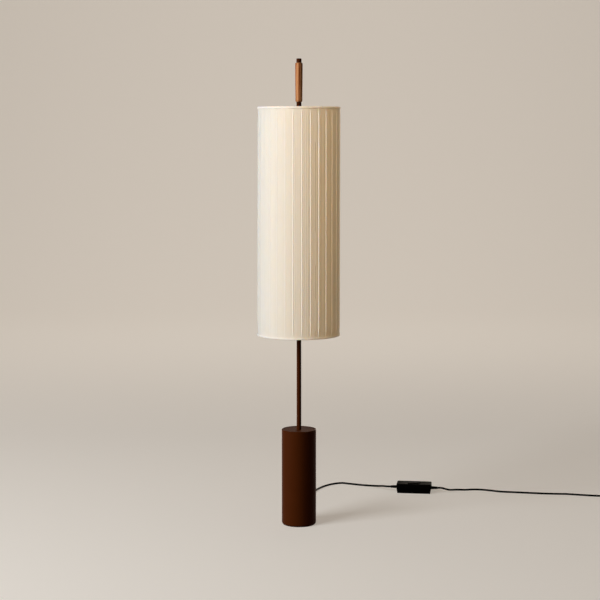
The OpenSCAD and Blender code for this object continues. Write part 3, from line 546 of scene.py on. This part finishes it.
def rounded_line(corners: list[Pair], radii: list[float], steps: int = 6) -> Array:
    """An open line whose corners are rounded: from r before a corner to r past it, it follows
    (1-t) squared times the start, 2t(1-t) times the corner and t squared times the end.

    Args:
        corners: the sharp line.
        radii: r at each corner.
        steps: points at each corner.

    Returns:
        The rounded line's points.
    """
    line, r = np.array(corners, float), np.array(radii, float)[:, None]
    back = np.vstack([line[:1], line[:-1]]) - line
    ahead = np.vstack([line[1:], line[-1:]]) - line
    starts, ends = (line + r * way / np.maximum(np.linalg.norm(way, axis=1, keepdims=True), 1e-12)
                    for way in (back, ahead))
    t = np.linspace(0, 1, steps)[None, :, None]
    curve = (1 - t) ** 2 * starts[:, None] + 2 * t * (1 - t) * line[:, None] + t ** 2 * ends[:, None]
    return curve.reshape(-1, 2)


def rounded_plan(length: Array, width: Array, radius: Array, count: int = 64) -> Array:
    """Rounded rectangles: each corner's centre plus radius times (cos a, sin a), with the angles
    kept half a step off the axes, so that the straight sides join the corners.

    Args:
        length: each one's length along X.
        width: each one's width along Y.
        radius: each one's corner radius.
        count: points round each one.

    Returns:
        One outline a row.
    """
    a = (np.arange(count) + 0.5) * 2 * np.pi / count
    long, wide, r = (np.atleast_1d(np.asarray(v, float))[:, None] for v in (length, width, radius))
    return np.stack([np.sign(np.cos(a)) * (long / 2 - r) + r * np.cos(a),
                     np.sign(np.sin(a)) * (wide / 2 - r) + r * np.sin(a)], -1)


def lathe(profile: Array, around: int = 48) -> Skin:
    """A closed profile turned round the Z axis: (r cos a, r sin a, height).

    Args:
        profile: rows of radius and height in millimetres, upwards on the outside.
        around: points in a full turn.

    Returns:
        The turned surface, in metres.
    """
    a = full_turn(around)
    r, h = profile[:, :1], profile[:, 1:2]
    return Skin.net(np.stack([r * np.cos(a), r * np.sin(a), h + 0 * a], -1) * MM, closed_v=True)


def tube(path: Array, radius: float, sides: int = 14) -> Skin:
    """A round tube: at each point of the path, radius times cos a along the level side direction
    and sin a along the upward one, both square to the path.

    Args:
        path: the centreline, in millimetres.
        radius: the tube's radius, in millimetres.
        sides: points round it.

    Returns:
        The tube with its ends closed, in metres.
    """
    way = np.gradient(path, axis=0)
    way /= np.linalg.norm(way, axis=1, keepdims=True)
    side = np.cross(way, [0.0, 0.0, 1.0])
    side /= np.linalg.norm(side, axis=1, keepdims=True)
    up = np.cross(side, way)
    a = -full_turn(sides)
    ring = side[:, None] * np.cos(a)[:, None] + up[:, None] * np.sin(a)[:, None]
    return Skin.net((path[:, None] + radius * ring) * MM, capped=True)


def strain_relief(root: float, tip: float, length: float, bore: float, ribs: int = 6) -> Skin:
    """A tapered sleeve along Z whose ribs stand as a flattened cosine of the length.

    Args:
        root: its outside radius where it begins, in millimetres as all that follow.
        tip: its outside radius at its end.
        length: how far the ribs reach.
        bore: its inside radius.
        ribs: how many it has.

    Returns:
        The closed sleeve, in metres.
    """
    z = np.linspace(0, length, 12 * ribs + 1)
    t = z / length
    wave = smooth_step((np.cos(2 * np.pi * ribs * (t - 0.08)) + 0.45) * 1.4)
    groove = 0.55 * (1 - wave) * smooth_step((t - 0.04) / 0.04) * smooth_step((0.95 - t) / 0.04)
    outer = np.stack([root + (tip - root) * t - groove, z], -1)
    lip = length + 0.3
    return lathe(np.vstack([[[bore, 0.0]], outer, [[tip - 0.4, lip], [bore, lip]]]))


@dataclass
class FloorCord:
    """The black cord: from the base to the foot switch, then on to the coil and the plug."""

    diameter: float = 6.4
    gland_tip: Point = (0.0, 82.5, 17.0)
    switch_at: Pair = (382.0, 422.0)
    switch_turn: float = -7.5
    switch_axis_z: float = 16.0
    switch_half: float = 57.0
    switch_inside: float = 46.0
    relief: float = 20.0
    relief_thick_r: float = 5.5
    relief_thin_r: float = 4.3
    relief_bore: float = 3.3
    straight: float = 14.0
    coil_at: Pair = (1050.0, 302.0)
    coil_start_r: float = 44.125
    coil_step: float = 7.3
    lower_turns: float = 2.5
    upper_turns: float = 2.75
    coil_z: float = 4.3
    coil_entry: float = 22.0
    coil_leave: float = 12.0
    plug_lead: float = 62.0
    plug_z: float = 6.85
    plug_inside: float = 18.0
    # The cord's way out of the base, from the gland's tip
    gland_run: tuple[Point, ...] = ((0, -6, 0), (0, 0, 0), (0, 8, 0), (0, 25, -3))
    # Points of the cord's underside on the floor
    run_points: tuple[Point, ...] = (
        (2, 150, 4), (6, 195, 0.5), (12, 245, 0), (22, 300, 0), (35, 360, 0), (48, 410, 0),
        (60, 445, 0), (73, 473, 0), (91, 502, 0), (115, 527, 0), (144, 541, 0), (172, 529, 0),
        (199, 516, 0), (225, 504, 0.4), (248, 490, 2.2), (266, 468, 6.3), (280, 446, 11.2))
    tail_points: tuple[Point, ...] = (
        (498, 418, 5), (526, 437, 1), (553, 439, 0), (580, 444, 0), (608, 441, 0), (640, 427, 0),
        (670, 412, 0), (715, 403, 0), (763, 393, 0), (811, 384, 0), (846, 380, 0), (882, 377, 0),
        (918, 367, 0), (954, 357, 0), (988, 349, 0.3))
    paths: tuple[Array, Array] = field(init=False)

    @property
    def coil_inner_r(self) -> float:
        """The coil's radius where it turns back outwards."""
        return self.coil_start_r - self.lower_turns * self.coil_step

    @property
    def coil_end_r(self) -> float:
        """The coil's radius where the cord leaves it."""
        return self.coil_inner_r + self.upper_turns * self.coil_step

    def on_switch_axis(self, distance: float) -> Array:
        """A point on the switch's axis, in millimetres, this far past its middle."""
        return np.array([*self.switch_at, self.switch_axis_z]) + distance * level(self.switch_turn)

    def on_floor(self, points: tuple[Point, ...]) -> Array:
        """Centreline points from the heights of the cord's underside."""
        return np.array(points, float) + [0, 0, self.diameter / 2]

    @staticmethod
    def routed(knots: Array, step: float = 4.0) -> Array:
        """A smooth curve through the knots, with Catmull-Rom weights of the four nearest knots.

        Args:
            knots: the points that it passes.
            step: the distance between its own points, about.

        Returns:
            The curve's points.
        """
        ends = np.vstack([2 * knots[0] - knots[1], knots, 2 * knots[-1] - knots[-2]])
        spans = [np.linspace(i, i + 1, max(2, round(float(np.linalg.norm(knots[i + 1] - knots[i])) / step)),
                             endpoint=False) for i in range(len(knots) - 1)]
        at = np.append(np.concatenate(spans), len(knots) - 1)
        i = np.minimum(at.astype(int), len(knots) - 2)
        t = (at - i)[:, None]
        a, b, c, d = ends[i], ends[i + 1], ends[i + 2], ends[i + 3]
        return 0.5 * (2 * b + (c - a) * t + (2 * a - 5 * b + 4 * c - d) * t ** 2
                      + (3 * b - a - 3 * c + d) * t ** 3)

    def coil(self) -> Array:
        """Two layers of turns: the radius shrinks by a step a turn, then grows again, and the
        height climbs one step in the half turn where it reverses.

        Returns:
            The coil's centreline in millimetres.
        """
        t = np.linspace(0, self.lower_turns + self.upper_turns, 64 * 5)
        r = self.coil_inner_r + self.coil_step * np.abs(t - self.lower_turns)
        a = np.radians(90 - 360 * t)
        climb = smooth_step((t - self.lower_turns + 0.25) / 0.5)
        return np.stack([self.coil_at[0] + r * np.cos(a), self.coil_at[1] + r * np.sin(a),
                         self.coil_z + self.coil_step * climb], -1)

    def plug_tip(self) -> Array:
        """Where the plug's strain relief begins."""
        return np.array([self.coil_at[0] + self.coil_end_r,
                         self.coil_at[1] - self.diameter - self.plug_lead, self.plug_z])

    def build(self) -> tuple[Thing, Thing]:
        """Makes both lengths of cord.

        Returns:
            The cord to the switch, and the cord from the switch to the plug.
        """
        relief, straight = self.switch_half + self.relief, self.straight * level(self.switch_turn)
        inlet, outlet = self.on_switch_axis(-relief), self.on_switch_axis(relief)
        first = self.routed(np.vstack([
            np.array(self.gland_tip) + self.gland_run, self.on_floor(self.run_points),
            inlet - straight, inlet, self.on_switch_axis(-self.switch_inside)]))
        run = tube(first, self.diameter / 2).piece(
            "cord_to_switch", Look.BLACK_CORD, "stand", ("cord_run",))
        coil, end = self.coil(), self.plug_tip()
        entry, leave = coil[0] - [self.diameter, 0, 0], coil[-1] - [0, self.diameter, 0]
        before = self.routed(np.vstack([
            self.on_switch_axis(self.switch_inside), outlet, outlet + straight,
            self.on_floor(self.tail_points), entry - [self.coil_entry, 0, 0], entry]))
        after = self.routed(np.vstack([leave, leave - [0, self.coil_leave, 0], end + [0, self.straight, 0],
                                       end, end - [0, self.plug_inside, 0]]))
        second = np.vstack([before, coil, after])
        tail = tube(second, self.diameter / 2).piece(
            "cord_to_plug", Look.BLACK_CORD, "stand", ("cord_tail", "cord_coil", "plug_lead"))
        self.paths = (first * MM, second * MM)
        return run, tail


@dataclass
class FootSwitch:
    """The switch in the cord: its lid, its button and its two strain reliefs."""

    cord: FloorCord
    length: float = 114.0
    width: float = 55.0
    height: float = 31.0
    split: float = 16.0
    corner: float = 5.5
    edge: float = 2.0
    wall: float = 2.2
    seam: float = 0.35
    button: Pair = (40.0, 28.0)
    button_corner: float = 6.0
    button_gap: float = 0.6
    button_sunk: float = 3.9
    rise: float = 2.0
    collar_r: float = 6.5
    neck_r: float = 5.4
    # The well round the button: depth, how much wider it is, corner radius
    well: tuple[Point, ...] = ((0, 7, 9.5), (0.12, 6, 9.0), (0.7, 2.4, 7.4), (0.85, 0.8, 6.6),
                               (1.2, 0, 6.3), (2.2, 0, 6.3))
    # The button's dished top: depth, how much narrower it is, corner radius
    dish: tuple[Point, ...] = ((0.9, 0, 6.0), (0.35, 0.4, 5.8), (0.05, 1.4, 5.3), (0, 2.8, 4.7),
                               (0.2, 5.2, 3.8), (0.42, 12, 3.2), (0.55, 20, 2.4), (0.6, 27, 0.4))

    def stacked(self, rows: list[tuple[float, ...]], **ends: bool) -> Skin:
        """Rounded rectangles stacked by height and set down where the switch lies.

        Args:
            rows: height, length, width and corner radius of each.
            ends: how Skin.net closes the stack.

        Returns:
            The surface.
        """
        z, long, wide, r = np.array(rows, float).T
        x = level(self.cord.switch_turn)
        return Skin.net(lifted(rounded_plan(long, wide, r), z), **ends).laid(
            (*np.array(self.cord.switch_at) * MM, 0.0), x, (-x[1], x[0], 0.0), (0.0, 0.0, 1.0))

    def lid(self) -> Skin:
        """The upper half: walls up from the parting line, a quarter-round edge, a shallow well
        round the button, and the same way back inside.

        Returns:
            The closed shell.
        """
        e, top, low = self.edge, self.height, self.split + 0.02

        def inset(height: float, by: float) -> tuple[float, ...]:
            """The switch's outline at this height, moved inwards."""
            return height, self.length - 2 * by, self.width - 2 * by, self.corner - by

        rows = [inset(low, self.seam), inset(self.split + 0.45, 0.0)]
        rows += [inset(top - e + e * math.sin(a), e * (1 - math.cos(a)))
                 for a in np.radians([0, 18, 36, 54, 72, 90])]
        rows += [(top - drop, *(size + self.button_gap + grow for size in self.button), corner)
                 for drop, grow, corner in self.well]
        rows += [inset(top - self.wall, self.wall), inset(low, self.wall)]
        return self.stacked(rows, closed_v=True)

    def key(self) -> Skin:
        """The button: a rounded block whose top is dished by 0.6 mm.

        Returns:
            The closed block.
        """
        rows = [(self.height - self.button_sunk, *self.button, self.button_corner)]
        rows += [(self.height + self.rise - drop, *(size - less for size in self.button), corner)
                 for drop, less, corner in self.dish]
        return self.stacked(rows, capped=True)

    def sleeve(self, side: int) -> Skin:
        """A strain relief, from a collar inside the wall out along the cord.

        Args:
            side: -1 at the inlet and 1 at the outlet.

        Returns:
            The sleeve and its collar.
        """
        cord, bore = self.cord, self.cord.relief_bore
        axis = side * level(cord.switch_turn)
        body = strain_relief(cord.relief_thick_r, cord.relief_thin_r, cord.relief, bore)
        seat = lathe(np.array([(bore, -8.0), (self.collar_r, -8.0), (self.collar_r, -5.2),
                               (self.neck_r, -5.2), (self.neck_r, 0.0), (bore, 0.0)]))
        return (body + seat).laid(cord.on_switch_axis(side * self.length / 2) * MM,
                                  (-axis[1], axis[0], 0.0), (0.0, 0.0, 1.0), axis)

    def build(self) -> tuple[list[object], list[object]]:
        """Makes the switch.

        Returns:
            The pieces on the cord to the switch, and those on the cord to the plug.
        """
        lid = self.lid().piece("switch_lid", Look.BLACK_PLASTIC, "stand", ("switch_upper_case",))
        key = self.key().piece("switch_key", Look.BLACK_PLASTIC, "button", ("foot_button",))
        inlet, outlet = [self.sleeve(side).piece(
            f"switch_{end}_sleeve", Look.BLACK_CORD, "stand", (f"switch_{end}_relief",))
            for side, end in ((-1, "inlet"), (1, "outlet"))]
        return ([lid, key, inlet, "switch_lower_case", "switch_block", "switch_leads", "switch_screws",
                 "button_plunger"], [outlet])


@dataclass
class CordEnd:
    """The plug and the tie round the coil."""

    cord: FloorCord
    relief: float = 28.0
    # The plug's body: distance from its relief, width and thickness
    stations: tuple[Point, ...] = (
        (0, 11, 10.6), (1.2, 12.2, 11.2), (4, 13.8, 11.7), (9, 16, 12.2), (15, 22.5, 13), (20, 31, 13.5),
        (24, 34.4, 13.7), (30, 35, 13.7), (32.8, 35, 13.7), (33.6, 34.2, 13), (34, 32.6, 11.6))
    tie_width: float = 10.0
    tie_thick: float = 1.0
    tie_turn: float = 225.0

    def plug(self) -> Skin:
        """A flat body lofted through rounded rectangles along -Y, with its ribbed relief behind.

        Returns:
            The body and the relief.
        """
        at, wide, tall = np.array(self.stations).T
        body = Skin.net(lifted(rounded_plan(wide, tall, np.minimum(wide, tall) * 0.42, 48), at), capped=True)
        cord = self.cord
        sleeve = strain_relief(cord.relief_thin_r, cord.relief_thick_r, self.relief, cord.relief_bore, 7)
        tip = cord.plug_tip() * MM
        axes = ((-1.0, 0.0, 0.0), (0.0, 0.0, 1.0), (0.0, -1.0, 0.0))
        return body.laid(tip - [0, self.relief * MM, 0], *axes) + sleeve.laid(tip, *axes)

    def tie(self) -> Skin:
        """A soft band round the turns: rounded rectangles, outside and inside, along its width.

        Returns:
            The closed band.
        """
        cord = self.cord
        reach = cord.diameter / 2 + 1
        low, high = cord.coil_inner_r - reach, cord.coil_end_r + reach
        top = cord.coil_z + cord.coil_step + cord.diameter / 2 + 0.1
        half = self.tie_width / 2
        grow = self.tie_thick * np.array([2.0, 2.0, 1.5, 0.0, 0.0, 1.5])
        at = np.array([0.3 - half, half - 0.3, half, half, -half, -half])
        plans = rounded_plan(high - low + grow, top - self.tie_thick + grow, 2.2 + grow / 2, 48)
        out = level(self.tie_turn)
        middle = np.array([*cord.coil_at, (top + self.tie_thick) / 2]) + (low + high) / 2 * out
        return Skin.net(lifted(plans, at), closed_v=True).laid(
            middle * MM, out, (0.0, 0.0, 1.0), (out[1], -out[0], 0.0))

    def build(self) -> list[object]:
        """Makes the plug and the tie.

        Returns:
            Both, and the plug's pins.
        """
        plug = self.plug().piece("plug_shell", Look.BLACK_PLASTIC, "stand", ("plug_body",))
        tie = self.tie().piece("cord_tie", Look.BLACK_PLASTIC, "stand", ("coil_tie",))
        return [plug, tie, "plug_pins"]


@dataclass
class PleatedShade:
    """The cloth of the shade: knife pleats with finer folds between them, and a tape at each end."""

    top: float = 1261.0
    foot: float = 579.5
    valley_r: float = 121.9
    inner_r: float = 121.42
    pleats: int = 30
    first_edge: float = 4.65
    hem: float = 6.0
    tape: float = 0.8
    tape_r: float = 123.5
    flare: float = 1.6
    lean: float = 1.4
    # How much paler the tapes are drawn: a painted highlight along each tape, given through the cloth's crest
    # blend
    tape_pale: float = 0.6
    ring_inner_r: float = 115.5
    rows: int = 66
    rng: np.random.Generator = field(default_factory=lambda: np.random.default_rng(11))
    # The first row's distance from the end, and the close rows' and the even rows' distances from it
    end_gap: float = 1.2
    close_rows: tuple[float, ...] = (0, 3, 5.5, 8, 11, 15, 20, 27)
    even_from: float = 36.0
    # The radius at which the stations' distances are laid round the shade
    cloth_r: float = 124.5
    # Across one pleat: distance from the last edge, rise of the main fold, rise of the fine folds
    stations: tuple[Point, ...] = (
        (-2.6, 0, 0), (-0.2, 0, 0), (1, 0, 0.08), (3.2, 0.03, 0.24), (5, 0.03, 0.46), (5.6, 0.03, 0.46),
        (5.95, 0.03, 0.26), (6.4, 0.03, 0.08), (9.3, 0.06, 0.23), (11.5, 0.06, 0.46), (12.1, 0.06, 0.46),
        (12.45, 0.06, 0.26), (12.9, 0.06, 0.08), (15.8, 0.08, 0.22), (17.9, 0.1, 0.4), (18.5, 0.1, 0.4),
        (18.85, 0.1, 0.22), (19.3, 0.1, 0.05), (21.6, 0.12, 0), (23.1, 0.2, 0), (23.7, 0.5, 0),
        (24.3, 1, 0), (24.9, 1.5, 0), (25.4, 1.75, 0), (25.85, 1.68, 0), (26, 1.45, 0), (25.9, 1.2, 0),
        (25.6, 1, 0))
    # The stations at the fine folds' edges, in the main fold's crease, which gets painted shade, and on its
    # crest, which gets a painted highlight
    fine_edges: tuple[int, ...] = (5, 10, 15)
    crease: tuple[int, ...] = (0, 1, 26, 27)
    crest: tuple[int, ...] = (21, 22, 23, 24)
    # How far each pleat stands: degrees right of the front, and strength
    pressed: tuple[Pair, ...] = (
        (-180, 0.8), (-120, 0.45), (-90, 0.16), (-20, 0.3), (-8, 0.75), (4, 0.7), (16, 0.6), (28, 1.25),
        (40, 1.3), (62, 1.0), (86, 0.45), (100, 0.5), (180, 0.8))
    # A fold's share of its rise at the tape, and the distance from there to its full rise
    main_ease: Pair = (0.2, 20.0)
    fine_ease: Pair = (0.15, 34.0)
    # What the cloth gains on its tape, as a share of its flare and lean, and over what distance
    slack: Pair = (0.4, 60.0)
    # How much a fold wanders down the shade, and how much folds differ
    main_wander: float = 0.04
    main_spread: float = 0.08
    fine_wander: float = 0.12
    fine_spread: float = 0.3
    shift_wander: float = 0.1
    shift_spread: float = 0.9

    def sway(self, count: int) -> Array:
        """A slow wander: the mean of three sines of the height, whose phases are drawn once a line.

        Args:
            count: how many lines run down the shade.

        Returns:
            Values from -1 to 1, by row and line.
        """
        phase = self.rng.uniform(0, 2 * np.pi, (3, 1, count))
        turns = np.array([0.8, 1.9, 3.7])[:, None, None]
        t = ((self.heights() - self.foot) / (self.top - self.foot))[None, :, None]
        return np.sin(2 * np.pi * turns * t + phase).mean(0)

    def heights(self) -> Array:
        """The rows' heights: close together at both ends and even between them.

        Returns:
            Millimetres, from the foot up.
        """
        low, high = self.foot + self.end_gap, self.top - self.end_gap
        close = np.array(self.close_rows)
        even = np.linspace(low + self.even_from, high - self.even_from, self.rows - 2 * len(close))
        return np.concatenate([low + close, even, high - close[::-1]])

    def strengths(self) -> tuple[Array, Array]:
        """How far the folds stand: by the pleat's direction, with a slow wander and a spread.

        Returns:
            The main folds' strengths by row and pleat, and the fine folds' by row, pleat and fold.
        """
        front = (self.first_edge + 360 / self.pleats * np.arange(self.pleats) + 180) % 360 - 180
        stands = np.interp(front, *np.array(self.pressed).T)
        strong = stands * (1 + self.main_wander * self.sway(self.pleats))
        strong = strong * (1 + self.rng.uniform(-self.main_spread, 0.0, self.pleats))
        folds = self.pleats * 4
        weak = 1.0 + self.fine_wander * self.sway(folds)
        weak = np.clip(weak + self.rng.uniform(-self.fine_spread, self.fine_spread, folds), 0.1, 1.4)
        return strong, weak.reshape(-1, self.pleats, 4) * (0.2 + 0.8 * stands)[:, None]

    def drifts(self, owner: Array) -> Array:
        """How far the points are shifted round the shade with their own fold.

        Args:
            owner: the fold that each station belongs to.

        Returns:
            Millimetres by row, pleat and station. The first station moves with the pleat before it,
            and the next two with the mean of that and their own.
        """
        shift = self.shift_wander * self.sway(self.pleats * 4).reshape(-1, self.pleats, 4)
        shift[:, :, :3] += self.rng.uniform(-self.shift_spread, self.shift_spread, (1, self.pleats, 3))
        drift = shift[:, :, owner]
        drift[:, :, 0] = np.roll(shift[:, :, 3], 1, axis=1)
        drift[:, :, 1:3] = (0.5 * drift[:, :, 0] + 0.5 * shift[:, :, 0])[:, :, None]
        return drift

    def cover(self) -> tuple[Skin, Array]:
        """The pleated cloth. A point's radius is the valley's, plus what the cloth hangs out, plus the
        main fold's rise, plus the fine fold's rise. The two rises have a strength that dies away
        towards the tapes and wanders a little down the pleat. The cloth hangs out evenly more
        towards the foot, and by the sine of the angle more at the left. A point's angle wanders
        with its own fold.

        Returns:
            The closed skin, and each point's painted fold shading: painted shade in a crease, and below 0 a
            painted highlight on a crest.
        """
        z = self.heights()[:, None, None]
        past = np.minimum(z - self.foot, self.top - z) - self.hem
        main, fine = (share + (1 - share) * smooth_step(past / over)
                      for share, over in (self.main_ease, self.fine_ease))
        along, rise, ripple = np.array(self.stations).T
        station = np.arange(len(along))
        owner = np.searchsorted(np.array(self.fine_edges) + 2, station, side="right")
        strong, weak = self.strengths()
        firm = strong[:, :, None]
        radius = self.valley_r + rise * (main * firm) + ripple * fine * weak[:, :, owner]
        pitch = 2 * np.pi * self.cloth_r / self.pleats
        place = np.arange(self.pleats)[None, :, None] * pitch + along - pitch + self.drifts(owner)
        angle = np.radians(self.first_edge) + place / self.cloth_r
        reach = (self.top - z) / (self.top - self.foot) + self.slack[0] * smooth_step(past / self.slack[1])
        radius = radius + reach * (self.flare - self.lean * np.sin(angle))
        points = np.stack([radius * np.sin(angle), -radius * np.cos(angle),
                           np.broadcast_to(z, radius.shape)], -1).reshape(len(z), -1, 3)
        # Painted shade in each main fold's crease and a painted highlight on its crest, both stronger where
        # the fold stands further
        dark, highlit = (np.isin(station, at) for at in (self.crease, self.crest))
        painted_fold_shading = (dark * firm ** 2 - highlit * 1.6 * firm) * main
        back = points[[-1, 0]].copy()
        flat = back[:, :, :2]
        back[:, :, :2] = flat / np.linalg.norm(flat, axis=2, keepdims=True) * self.inner_r
        skin = Skin.net(np.concatenate([points, back]) * MM, closed_v=True)
        return skin, np.concatenate([painted_fold_shading.ravel(), np.zeros(2 * points.shape[1])])

    def tape_ring(self, up: int) -> Skin:
        """A folded tape over the wire ring: an outer leg, a web and an inner leg, with soft edges.
        The outer leg follows the pleats under it as a small cosine of the pleat's angle.

        Args:
            up: 1 for the tape at the top and -1 for the one at the foot.

        Returns:
            The closed tape.
        """
        t, h = self.tape, self.hem
        flare, lean = (self.flare, self.lean) if up < 0 else (0.0, 0.0)
        inner, outer = self.ring_inner_r, self.tape_r + flare
        corners = [(inner, -h), (inner + t, -h), (inner + t, -t), (outer - t, -t), (outer - t, -h),
                   (outer, -h), (outer, 0.0), (inner, 0.0)]
        line = rounded_line(corners, [0.3, 0.3, 0.5, 0.5, 0.3, 0.35, 1.6, 1.0])
        # One more point halfway down the inner leg, which closes the outline
        line = np.vstack([line, (line[:1] + line[-1:]) / 2])
        a = full_turn(360)
        edge = np.radians(self.first_edge)
        r, z = line[:, :1], line[:, 1:2]
        follow = 0.12 * np.cos(self.pleats * (a - edge)) + 0.05 * np.sin(7 * a + 1.0) + 0.04 * np.sin(17 * a)
        r = r + smooth_step((r - outer + 3) / 2) * (follow * (z < -0.4) - lean * np.sin(a))
        z = z + 0.12 * np.sin(5 * a + 0.4) * (z < -h / 2)
        points = np.stack([r * np.sin(a), -r * np.cos(a), up * z], -1)
        points = points if up > 0 else points[::-1]
        points[..., 2] += self.top if up > 0 else self.foot
        return Skin.net(points * MM, closed_v=True)

    def build(self) -> list[Thing]:
        """Returns:
            The three pieces.
        """
        skin, painted_fold_shading = self.cover()
        cover = skin.piece("pleated_cover", Look.CLOTH, "shade", ("shade_cover",), 60.0, painted_fold_shading)
        # Each tape carries the same painted highlight all round
        top, foot = [
            ring.piece(name, Look.CLOTH, "shade", (node,), 50.0, np.full(len(ring.points), -self.tape_pale))
            for ring, name, node in ((self.tape_ring(1), "top_tape", "shade_top_hem"),
                                     (self.tape_ring(-1), "foot_tape", "shade_bottom_hem"))]
        return [cover, top, foot]


def dress_packed() -> None:
    """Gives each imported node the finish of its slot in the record. It keeps its own shape."""
    rows = frame["record"]["subparts"]
    for row in rows:
        slots = frame["nodes"][row["node"]].data.materials
        slots.clear()
        slots.append(MATERIALS[Look[row["material_slot"].upper()]])
    log.info("dressed %d packed nodes", len(rows))


@dataclass(frozen=True)
class Softbox:
    """A flat lamp: where it stands, its width and height, its watts, its tint and what it faces."""

    name: str
    at: Point
    size: Pair
    power: float
    tint: Colour
    aim: Point = (0.0, 0.0, 0.92)

    def stand(self, lit: list[Thing] | None = None) -> None:
        """Puts the lamp up, tipped and turned from straight down to its aim.

        Args:
            lit: the only pieces that it lights, or none for all that there is.
        """
        data = bpy.data.lights.new(self.name, "AREA")
        data.shape, data.energy, data.color = "RECTANGLE", self.power, self.tint
        data.size, data.size_y = self.size
        lamp = into_scene(self.name, data)
        x, y, z = np.array(self.aim) - np.array(self.at)
        lamp.location = self.at
        lamp.rotation_euler = (math.atan2(math.hypot(x, y), -z), 0.0, math.atan2(y, x) - math.pi / 2)
        if lit:
            lamp.light_linking.receiver_collection = bpy.data.collections.new(f"lit_by_{self.name}")
            for piece in lit:
                lamp.light_linking.receiver_collection.objects.link(piece)


@dataclass
class Studio:
    """The camera, a pale floor that sweeps up behind the lamp, and soft lamps."""

    camera_at: Point = (0.0031, -4.653, 1.175)
    pitch: float = 6.01
    lens: float = 93.4
    # The floor's half width, where its sweep begins, the sweep's radius and the wall's top
    floor: tuple[float, float, float, float] = (14.0, 5.5, 5.0, 12.0)
    paper: Colour = (0.74, 0.685, 0.62)
    glow: Colour = (0.35, 0.318, 0.278)
    bounce: Colour = (0.16, 0.11, 0.07)
    room: Colour = (1.0, 0.68, 0.42)
    dimness: float = 0.075
    key: Softbox = Softbox("key_lamp", (-3.54, -2.66, 2.7), (2.4, 2.4), 163.0, (0.855, 0.925, 1.0),
                           (0.0, 0.0, 0.75))
    backdrop: Softbox = Softbox("backdrop_lamp", (0.0, 3.5, 4.8), (4.0, 4.0), 95.0, (1.0, 0.96, 0.9),
                                (0.0, 10.5, 1.8))
    front: Softbox = Softbox("fill_lamp", (0.7, -2.32, 2.3), (1.2, 1.2), 40.0, (1.0, 0.715, 0.425))
    strip: Softbox = Softbox("strip_lamp", (-3.8, -1.15, 1.25), (0.5, 2.4), 54.0, (1.0, 0.915, 0.84))
    behind: Softbox = Softbox("back_lamp", (1.5, 4.13, 0.55), (1.4, 1.0), 135.0, (1.0, 0.87, 0.72))

    def camera(self) -> None:
        """Stands the camera where the photograph was taken from."""
        data = bpy.data.cameras.new("camera")
        data.sensor_width, data.lens = 36.0, self.lens
        seen = into_scene("camera", data)
        seen.location = self.camera_at
        seen.rotation_euler = (math.radians(90 - self.pitch), 0.0, 0.0)
        bpy.context.scene.camera = seen

    def sweep(self) -> None:
        """A sheet of paper: a flat floor, a quarter circle and a wall."""
        half, far, r, top = self.floor
        a = np.radians(np.linspace(0, 90, 24))
        y = np.concatenate([[-half], far + r * np.sin(a), [far + r]])
        z = np.concatenate([[0.0], r - r * np.cos(a), [top]])
        x = np.array([half, -half])
        points = np.stack([x + 0 * y[:, None], y[:, None] + 0 * x, z[:, None] + 0 * x], -1)
        paper = bpy.data.materials.new("paper")
        recipe = Recipe(paper)
        near = recipe.part(recipe.place(), "Y").smooth(2.0, 5.0)
        bounced = recipe.blend(near, self.bounce, self.paper)
        recipe.shade((("Specular IOR Level", 0.1), ("Emission Strength", 1.0)), roughness=0.9,
                     base_color=recipe.blend(recipe.seen(), bounced, self.paper),
                     emission_color=recipe.blend(recipe.seen(), (0.0, 0.0, 0.0), self.glow))
        mesh = bpy.data.meshes.new("paper_sweep")
        first = np.arange(len(y) - 1) * 2
        mesh.from_pydata(points.reshape(-1, 3).tolist(), [],
                         np.stack([first + 1, first, first + 2, first + 3], -1).tolist())
        mesh.polygons.foreach_set("use_smooth", np.ones(len(mesh.polygons), bool))
        mesh.materials.append(paper)
        into_scene("paper_sweep", mesh)

    def fill(self, cloth: list[Thing]) -> None:
        """Three weak lamps that leave the floor and its shadows as they are.

        The one in front lights the cloth alone: it stands for the light that comes through a real
        shade from its bright side. An upright strip at the left draws the soft gleam down the base
        and stem. The one behind lights every piece, so that the back shows too.

        Args:
            cloth: the cover and its tapes.
        """
        every = [piece for piece in bpy.context.scene.objects
                 if piece.type == "MESH" and piece.name != "paper_sweep"]
        self.front.stand(cloth)
        self.strip.stand(every)
        self.behind.stand(every)

    def light(self) -> None:
        """A large key lamp at the upper left, one for the backdrop, and a room dimmer on the right.

        The room's light is warm, and where it is seen it is pale. Its strength falls with a smooth
        step of the direction's X.
        """
        self.key.stand()
        self.backdrop.stand()
        world = bpy.data.worlds.new("room")
        recipe = Recipe(world)
        seen = recipe.seen()
        camera = recipe.node("ShaderNodeLightPath", out="Is Camera Ray")
        side = recipe.part(recipe.place("Generated")).smooth(-0.5, 0.9)
        level = seen * (0.75 - self.dimness) + self.dimness
        recipe.finish(recipe.node("ShaderNodeBackground", {
            "Color": recipe.blend(seen, self.room, self.paper),
            "Strength": level * (1 - (1 - camera) * side * 0.6)}), "World")
        bpy.context.scene.world = world
        bpy.context.scene.view_settings.view_transform = "Standard"

    def build(self) -> None:
        """Sets up everything that isn't the lamp."""
        self.camera()
        self.sweep()
        self.light()


def keep_sizes() -> None:
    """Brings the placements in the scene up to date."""
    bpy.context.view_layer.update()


def main() -> None:
    """Builds in order: the room, the cords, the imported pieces, switch and plug, and the shade."""
    logging.basicConfig(level=logging.INFO, format="%(name)s: %(message)s")
    studio = Studio()
    studio.build()
    cord = FloorCord()
    run, tail = cord.build()
    dress_packed()
    on_run, on_tail = FootSwitch(cord).build()
    on_tail + CordEnd(cord).build()
    studio.fill(PleatedShade().build())
    keep_sizes()


if __name__ == "__main__":
    main()
